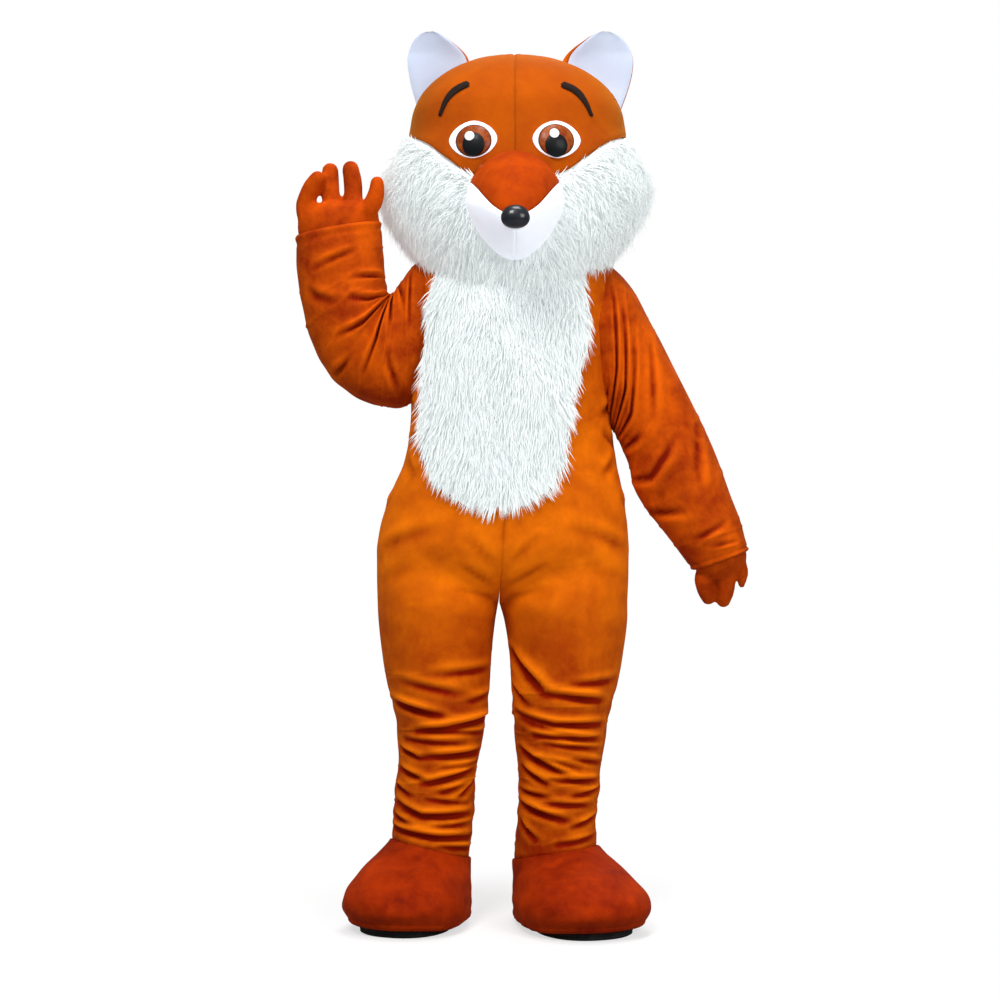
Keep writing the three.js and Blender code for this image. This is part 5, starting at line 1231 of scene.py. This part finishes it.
def pile(name, roots, outward, lay, length, rise, rng):
    """Strands of fur as thin three-sided spikes with one bend. Each leaves its root along the backing's
    normal and bends over to the lay of the pile. Strands of one lock lean to the tip of the lock's middle
    strand, and their shading normals lean to the backing's, as deep pile scatters light."""
    count = len(roots)
    lay = unit(lay + rng.normal(0, 0.2, lay.shape))
    outward = unit(outward)
    length = length * rng.uniform(0.65, 1.2, count)
    rising = rise * rng.uniform(0.3, 1.5, count)
    tips = roots + length[:, None] * (lay + outward * rising[:, None])
    middle = rng.choice(count, LOCKS, replace=False)
    owner = np.concatenate([
        np.argmin(((part[:, None, :] - roots[middle][None]) ** 2).sum(-1), axis=1)
        for part in np.array_split(roots, 40)
    ])
    pull = GATHER * rng.uniform(0.2, 1.3, count)[:, None]
    tips = mix(tips, tips[middle][owner] + rng.normal(0, 2.0, roots.shape), pull)
    bend = mix(roots, tips, 0.45) + outward * (length * (0.1 + 0.4 * rising))[:, None]
    side = unit(np.cross(tips - roots, outward))
    wide = (STRAND_WIDTH * rng.uniform(0.6, 1.3, count))[:, None]
    points, normals = [], []
    for place, taper in ((roots, 1.0), (bend, 0.75)):
        for way, reach in ((-side, 0.5), (side, 0.5), (outward, 0.4)):
            points.append(place + way * wide * taper * reach)
            normals.append(outward + 0.2 * way)
    points, normals = np.stack([*points, tips], 1), np.stack([*normals, outward], 1)
    spike = []
    for c, n in ((0, 1), (1, 2), (2, 0)):
        spike += [(c, n, n + 3), (c, n + 3, c + 3), (c + 3, n + 3, 6)]
    spike.append((0, 2, 1))
    faces = (np.array(spike)[None] + np.arange(count)[:, None, None] * 7).reshape(-1, 3)
    piece = make_piece(name, points, faces)
    piece.data.normals_split_custom_set_from_vertices(unit(normals.reshape(-1, 3)).tolist())
    mark(piece, "along", np.tile([0, 0, 0, 0.5, 0.5, 0.5, 1.0], count))
    shade = mix(rng.uniform(0, 1, LOCKS)[owner], rng.uniform(0, 1, count), 0.5)
    mark(piece, "shade", np.repeat(shade, 7))
    return piece


# The fur glows a little: painted light for the light that scatters through the deep pile. The bib's copy
# glows less.
white_fur, tree, shader = new_material(
    "white_fur",
    Roughness=0.8, Specular_IOR_Level=0.15, Sheen_Weight=0.15, Sheen_Roughness=0.5, Emission_Strength=0.3)
# Painted shade: the strands are darker towards their roots, in the shade between them.
painted_root_shade = stretch(tree, attribute(tree, "along"), 0.0, 0.6, 0.26, 0.0)
uneven = work_out(tree, "MULTIPLY", attribute(tree, "shade"), noise(tree, place_on(tree), 14.0, 4.0))
deep = work_out(tree, "MULTIPLY_ADD", uneven, 0.7, painted_root_shade)
tone = blend(tree, deep, linear(243, 249, 249), linear(208, 219, 217))
tree.links.new(tone, shader.inputs["Base Color"])
tree.links.new(tone, shader.inputs["Emission Color"])
bib_fur = white_fur.copy()
bib_fur.name = "bib_fur"
bib_fur.node_tree.nodes["Principled BSDF"].inputs["Emission Strength"].default_value = 0.24
# The backing glows a little too: painted light.
fur_back, tree, shader, tone = two_tone(
    "fur_backing", (222, 229, 228), (242, 247, 247), (350.0, 3.0), grain=(None, 0.8, 0.002),
    Roughness=0.95, Specular_IOR_Level=0.1, Emission_Strength=0.3)
tree.links.new(tone, shader.inputs["Emission Color"])

h = np.linspace(BACKING_FROM, 1350, 60)[:, None]
share = np.linspace(0, 1, 36)[None, :]
x = mix(BIB["left"](h) + BACKING_IN, BIB["right"](h) - BACKING_IN, share)
front = chest_point(x, h, 3.2)
bib = make_wall("bib_backing", front, 2.4)
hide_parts("bib")
rng = np.random.default_rng(11)
h = rng.uniform(BIB_LOW, BIB_TOP, STRANDS * 2)
x = rng.uniform(-174, 168, STRANDS * 2)
edge_h = h - 24 * ease(1010, 880, h)
inside = (x > BIB["left"](edge_h) + 6) & (x < BIB["right"](edge_h) - 6) & (edge_h > BIB_LOW)
h, x, edge_h = (values[inside][:STRANDS] for values in (h, x, edge_h))
left, right = BIB["left"](edge_h), BIB["right"](edge_h)
to_edge = (x - (left + right) / 2) / ((right - left) / 2)
roots = chest_point(x, h, 3.0)
outward = chest_point(x, h, 9.0) - roots
outward[:, 0] += to_edge * 1.5
sway = 0.2 * np.sin(h / 47 + x / 31) + 0.14 * np.sin(h / 19 - x / 23)
lay = np.stack([0.4 * np.sign(to_edge) * np.abs(to_edge) ** 3 + sway, 0 * h, -1 + 0 * h], -1)
bib_pile = pile("bib_pile", roots, outward, lay, mix(42, 30, ease(1300, 1350, h)), 0.24, rng)
dress(bib_fur, "white_fur", bib_pile)
dress(fur_back, "white_fur", bib)

for side in SIDE:
    degrees = np.linspace(0, CHEEK_END, 60)[None, :]
    t = np.linspace(0, 1, 40)[:, None]
    h = mix(HEAD_BOTTOM + 8, face_edge(degrees) - 1, t)
    skin = head_point(side, degrees, h, -15 + 5 * ease(0.93, 1, t))
    cheek = make_wall(f"cheek_{side}_backing", skin, 6)
    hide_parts(f"cheek_{side}")
    rng = np.random.default_rng(12 if side == "left" else 13)
    degrees = rng.uniform(0, CHEEK_END - 1, STRANDS * 3)
    h = rng.uniform(HEAD_BOTTOM, CHEEK_TOP, STRANDS * 3)
    girth = head_size(h, 0)[side] / HEAD_WIDEST
    kept = (h < face_edge(degrees) - 3) & (rng.uniform(0, 1, len(h)) < girth)
    degrees, h = degrees[kept][:STRANDS], h[kept][:STRANDS]
    near_top = ease(30, 3, face_edge(degrees) - h)
    roots = head_point(side, degrees, h, -14 + 11 * near_top)
    outward = head_point(side, degrees, h, 0) - head_point(side, degrees, h, -20)
    outward[:, 2] += (h - 1500) * 0.05
    outward = unit(outward)
    away = unit(np.stack([roots[:, 0] - HEAD_X, 0 * h, h - 1475], -1))
    sway = 0.3 * np.sin(degrees / 7 + h / 33) + 0.2 * np.sin(degrees / 3.1 - h / 17)
    lay = away * 0.6 + np.array((0, 0.35, -0.7)) * ease(0, 60, degrees)[:, None] + np.array((0, 0.0, -0.5))
    lay += np.cross(outward, lay) * sway[:, None]
    astray = rng.uniform(-0.4, 1.0, len(h)) * near_top
    lay[:, 2] += 1.4 * astray
    lay = unit(lay - outward * np.sum(lay * outward, axis=1, keepdims=True))
    length = mix(35, 26, near_top) * (1 + 0.25 * ease(1400, 1330, h))
    strands = pile(f"cheek_{side}_pile", roots, outward, lay, length, 0.38, rng)
    dress(white_fur, "white_fur", strands)
    dress(fur_back, "white_fur", cheek)

# The concealed zip: a strip of rust plush tape sewn over the opening in the middle of the back, with
# a line of stitches down each edge.
ZIP_HALF, STITCH_OUT, STITCH_STEP = 6, 4.6, 4.0
STITCH = ((1.3, 0.25), (0.6, 0.5), (-0.6, 0.5), (-1.3, 0.25))  # its rings: height and half thickness
STITCH_SIDES = 5
h = np.linspace(1371, 960, 120)[:, None]
share = np.linspace(-1, 1, 9)[None, :]
lift = 0.6 + 1.5 * np.sqrt(np.maximum(0, 1 - share**4)) - 0.5 * bell(share, 0.12)
x = torso["seam"](h) + ZIP_HALF * share
y = torso["back"](h)
tape = make_wall("back_zip_tape", stack(x, y + lift, h), inside=stack(x, y + 0.2, h))
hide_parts("back_zip")
turn = np.linspace(0, 2 * pi, STITCH_SIDES, endpoint=False)
points = []
for edge in (-1, 1):
    for middle in np.arange(1366, 966, -STITCH_STEP):
        rings = []
        for up, half in STITCH:
            h = middle + up
            x = torso["seam"](h) + edge * STITCH_OUT + half * np.cos(turn)
            rings.append(stack(x, torso["back"](h) + 1.9 + half * np.sin(turn), h))
        points.append(closed_rings(np.stack(rings)))
rows = len(STITCH) + 2
starts = np.arange(len(points))[:, None, None] * rows * STITCH_SIDES
faces = grid_faces(rows, STITCH_SIDES, True)[None] + starts
stitches = make_piece("back_zip_stitches", np.stack(points), faces.reshape(-1, 4), weld=True)
dress(rust_plush, "rust_plush", tape, stitches)

# The studio: a pale floor, soft lights overhead, behind and to each side, and the camera, level in front
# of the belly, with the lens that the figure's size in the picture gives.
FLOOR_HALF, CAMERA_FAR, PICTURE_WIDE, SENSOR = 30.0, 4.4, 2.08, 36
corners = [(x * FLOOR_HALF, y * FLOOR_HALF, 0) for x, y in ((-1, -1), (1, -1), (1, 1), (-1, 1))]
floor_mesh = bpy.data.meshes.new("studio_floor")
floor_mesh.from_pydata(corners, [], [(0, 1, 2, 3)])
floor = bpy.data.objects.new("studio_floor", floor_mesh)
floor.location.z = -SHOULDER_HEIGHT / 1000
bpy.context.collection.objects.link(floor)
pale, tree, shader, tone = two_tone(
    "studio_floor", (249, 249, 249), (252, 252, 252), (2.0,),
    Roughness=0.95, Specular_IOR_Level=0.05, Emission_Strength=1.0)
away = put(tree, "ShaderNodeVectorMath", {0: place_on(tree)}, operation="LENGTH").outputs["Value"]
faded = stretch(tree, away, 0.3, 0.8, 0.62, interpolation_type="SMOOTHSTEP")
seen = put(tree, "ShaderNodeLightPath").outputs["Is Camera Ray"]
white_out = work_out(tree, "MULTIPLY", faded, seen)
matt = blend(tree, seen, (0.4, 0.4, 0.4, 1), tone)
tree.links.new(blend(tree, white_out, matt, (0, 0, 0, 1)), shader.inputs["Base Color"])
tree.links.new(blend(tree, white_out, (0, 0, 0, 1), (1, 1, 1, 1)), shader.inputs["Emission Color"])
floor_mesh.materials.append(pale)
world = bpy.data.worlds.new("studio")
world.use_nodes = True
tree, sky = world.node_tree, world.node_tree.nodes["Background"]
seen = put(tree, "ShaderNodeLightPath").outputs["Is Camera Ray"]
tree.links.new(stretch(tree, seen, 0.0, 1.0, 0.38, 1.0), sky.inputs["Strength"])
sky.inputs["Color"].default_value = (1, 1, 1, 1)
bpy.context.scene.world = world
# Each light: its place, what it faces, its size and its power.
LIGHTS = [
    ("key", (-1.1, -3.0, 2.7), (0, 0, -0.4), 1.3, 115), ("fill", (2.4, -3.2, 0.9), (0, 0, -0.2), 1.6, 70),
    ("top", (0.2, -0.6, 2.8), (0, 0, 0), 1.2, 55), ("back", (0.9, 3.2, 2.2), (0, 0, 0), 2.2, 75),
]
for name, place, target, size, power in LIGHTS:
    lamp = bpy.data.lights.new(name, "AREA")
    lamp.energy, lamp.size = power, size
    light = bpy.data.objects.new(name, lamp)
    bpy.context.collection.objects.link(light)
    light.location = place
    way = np.array(target) - np.array(place)
    light.rotation_mode = "QUATERNION"
    light.rotation_quaternion = Vector(way).to_track_quat("-Z", "Y")
lens = bpy.data.cameras.new("camera")
lens.sensor_width, lens.lens = SENSOR, SENSOR * CAMERA_FAR / PICTURE_WIDE
camera = bpy.data.objects.new("camera", lens)
bpy.context.collection.objects.link(camera)
camera.location = (-0.0125, -CAMERA_FAR, -0.486)
camera.rotation_euler = (radians(90), 0, 0)
bpy.context.scene.camera = camera
bpy.context.scene.view_settings.view_transform = "Standard"
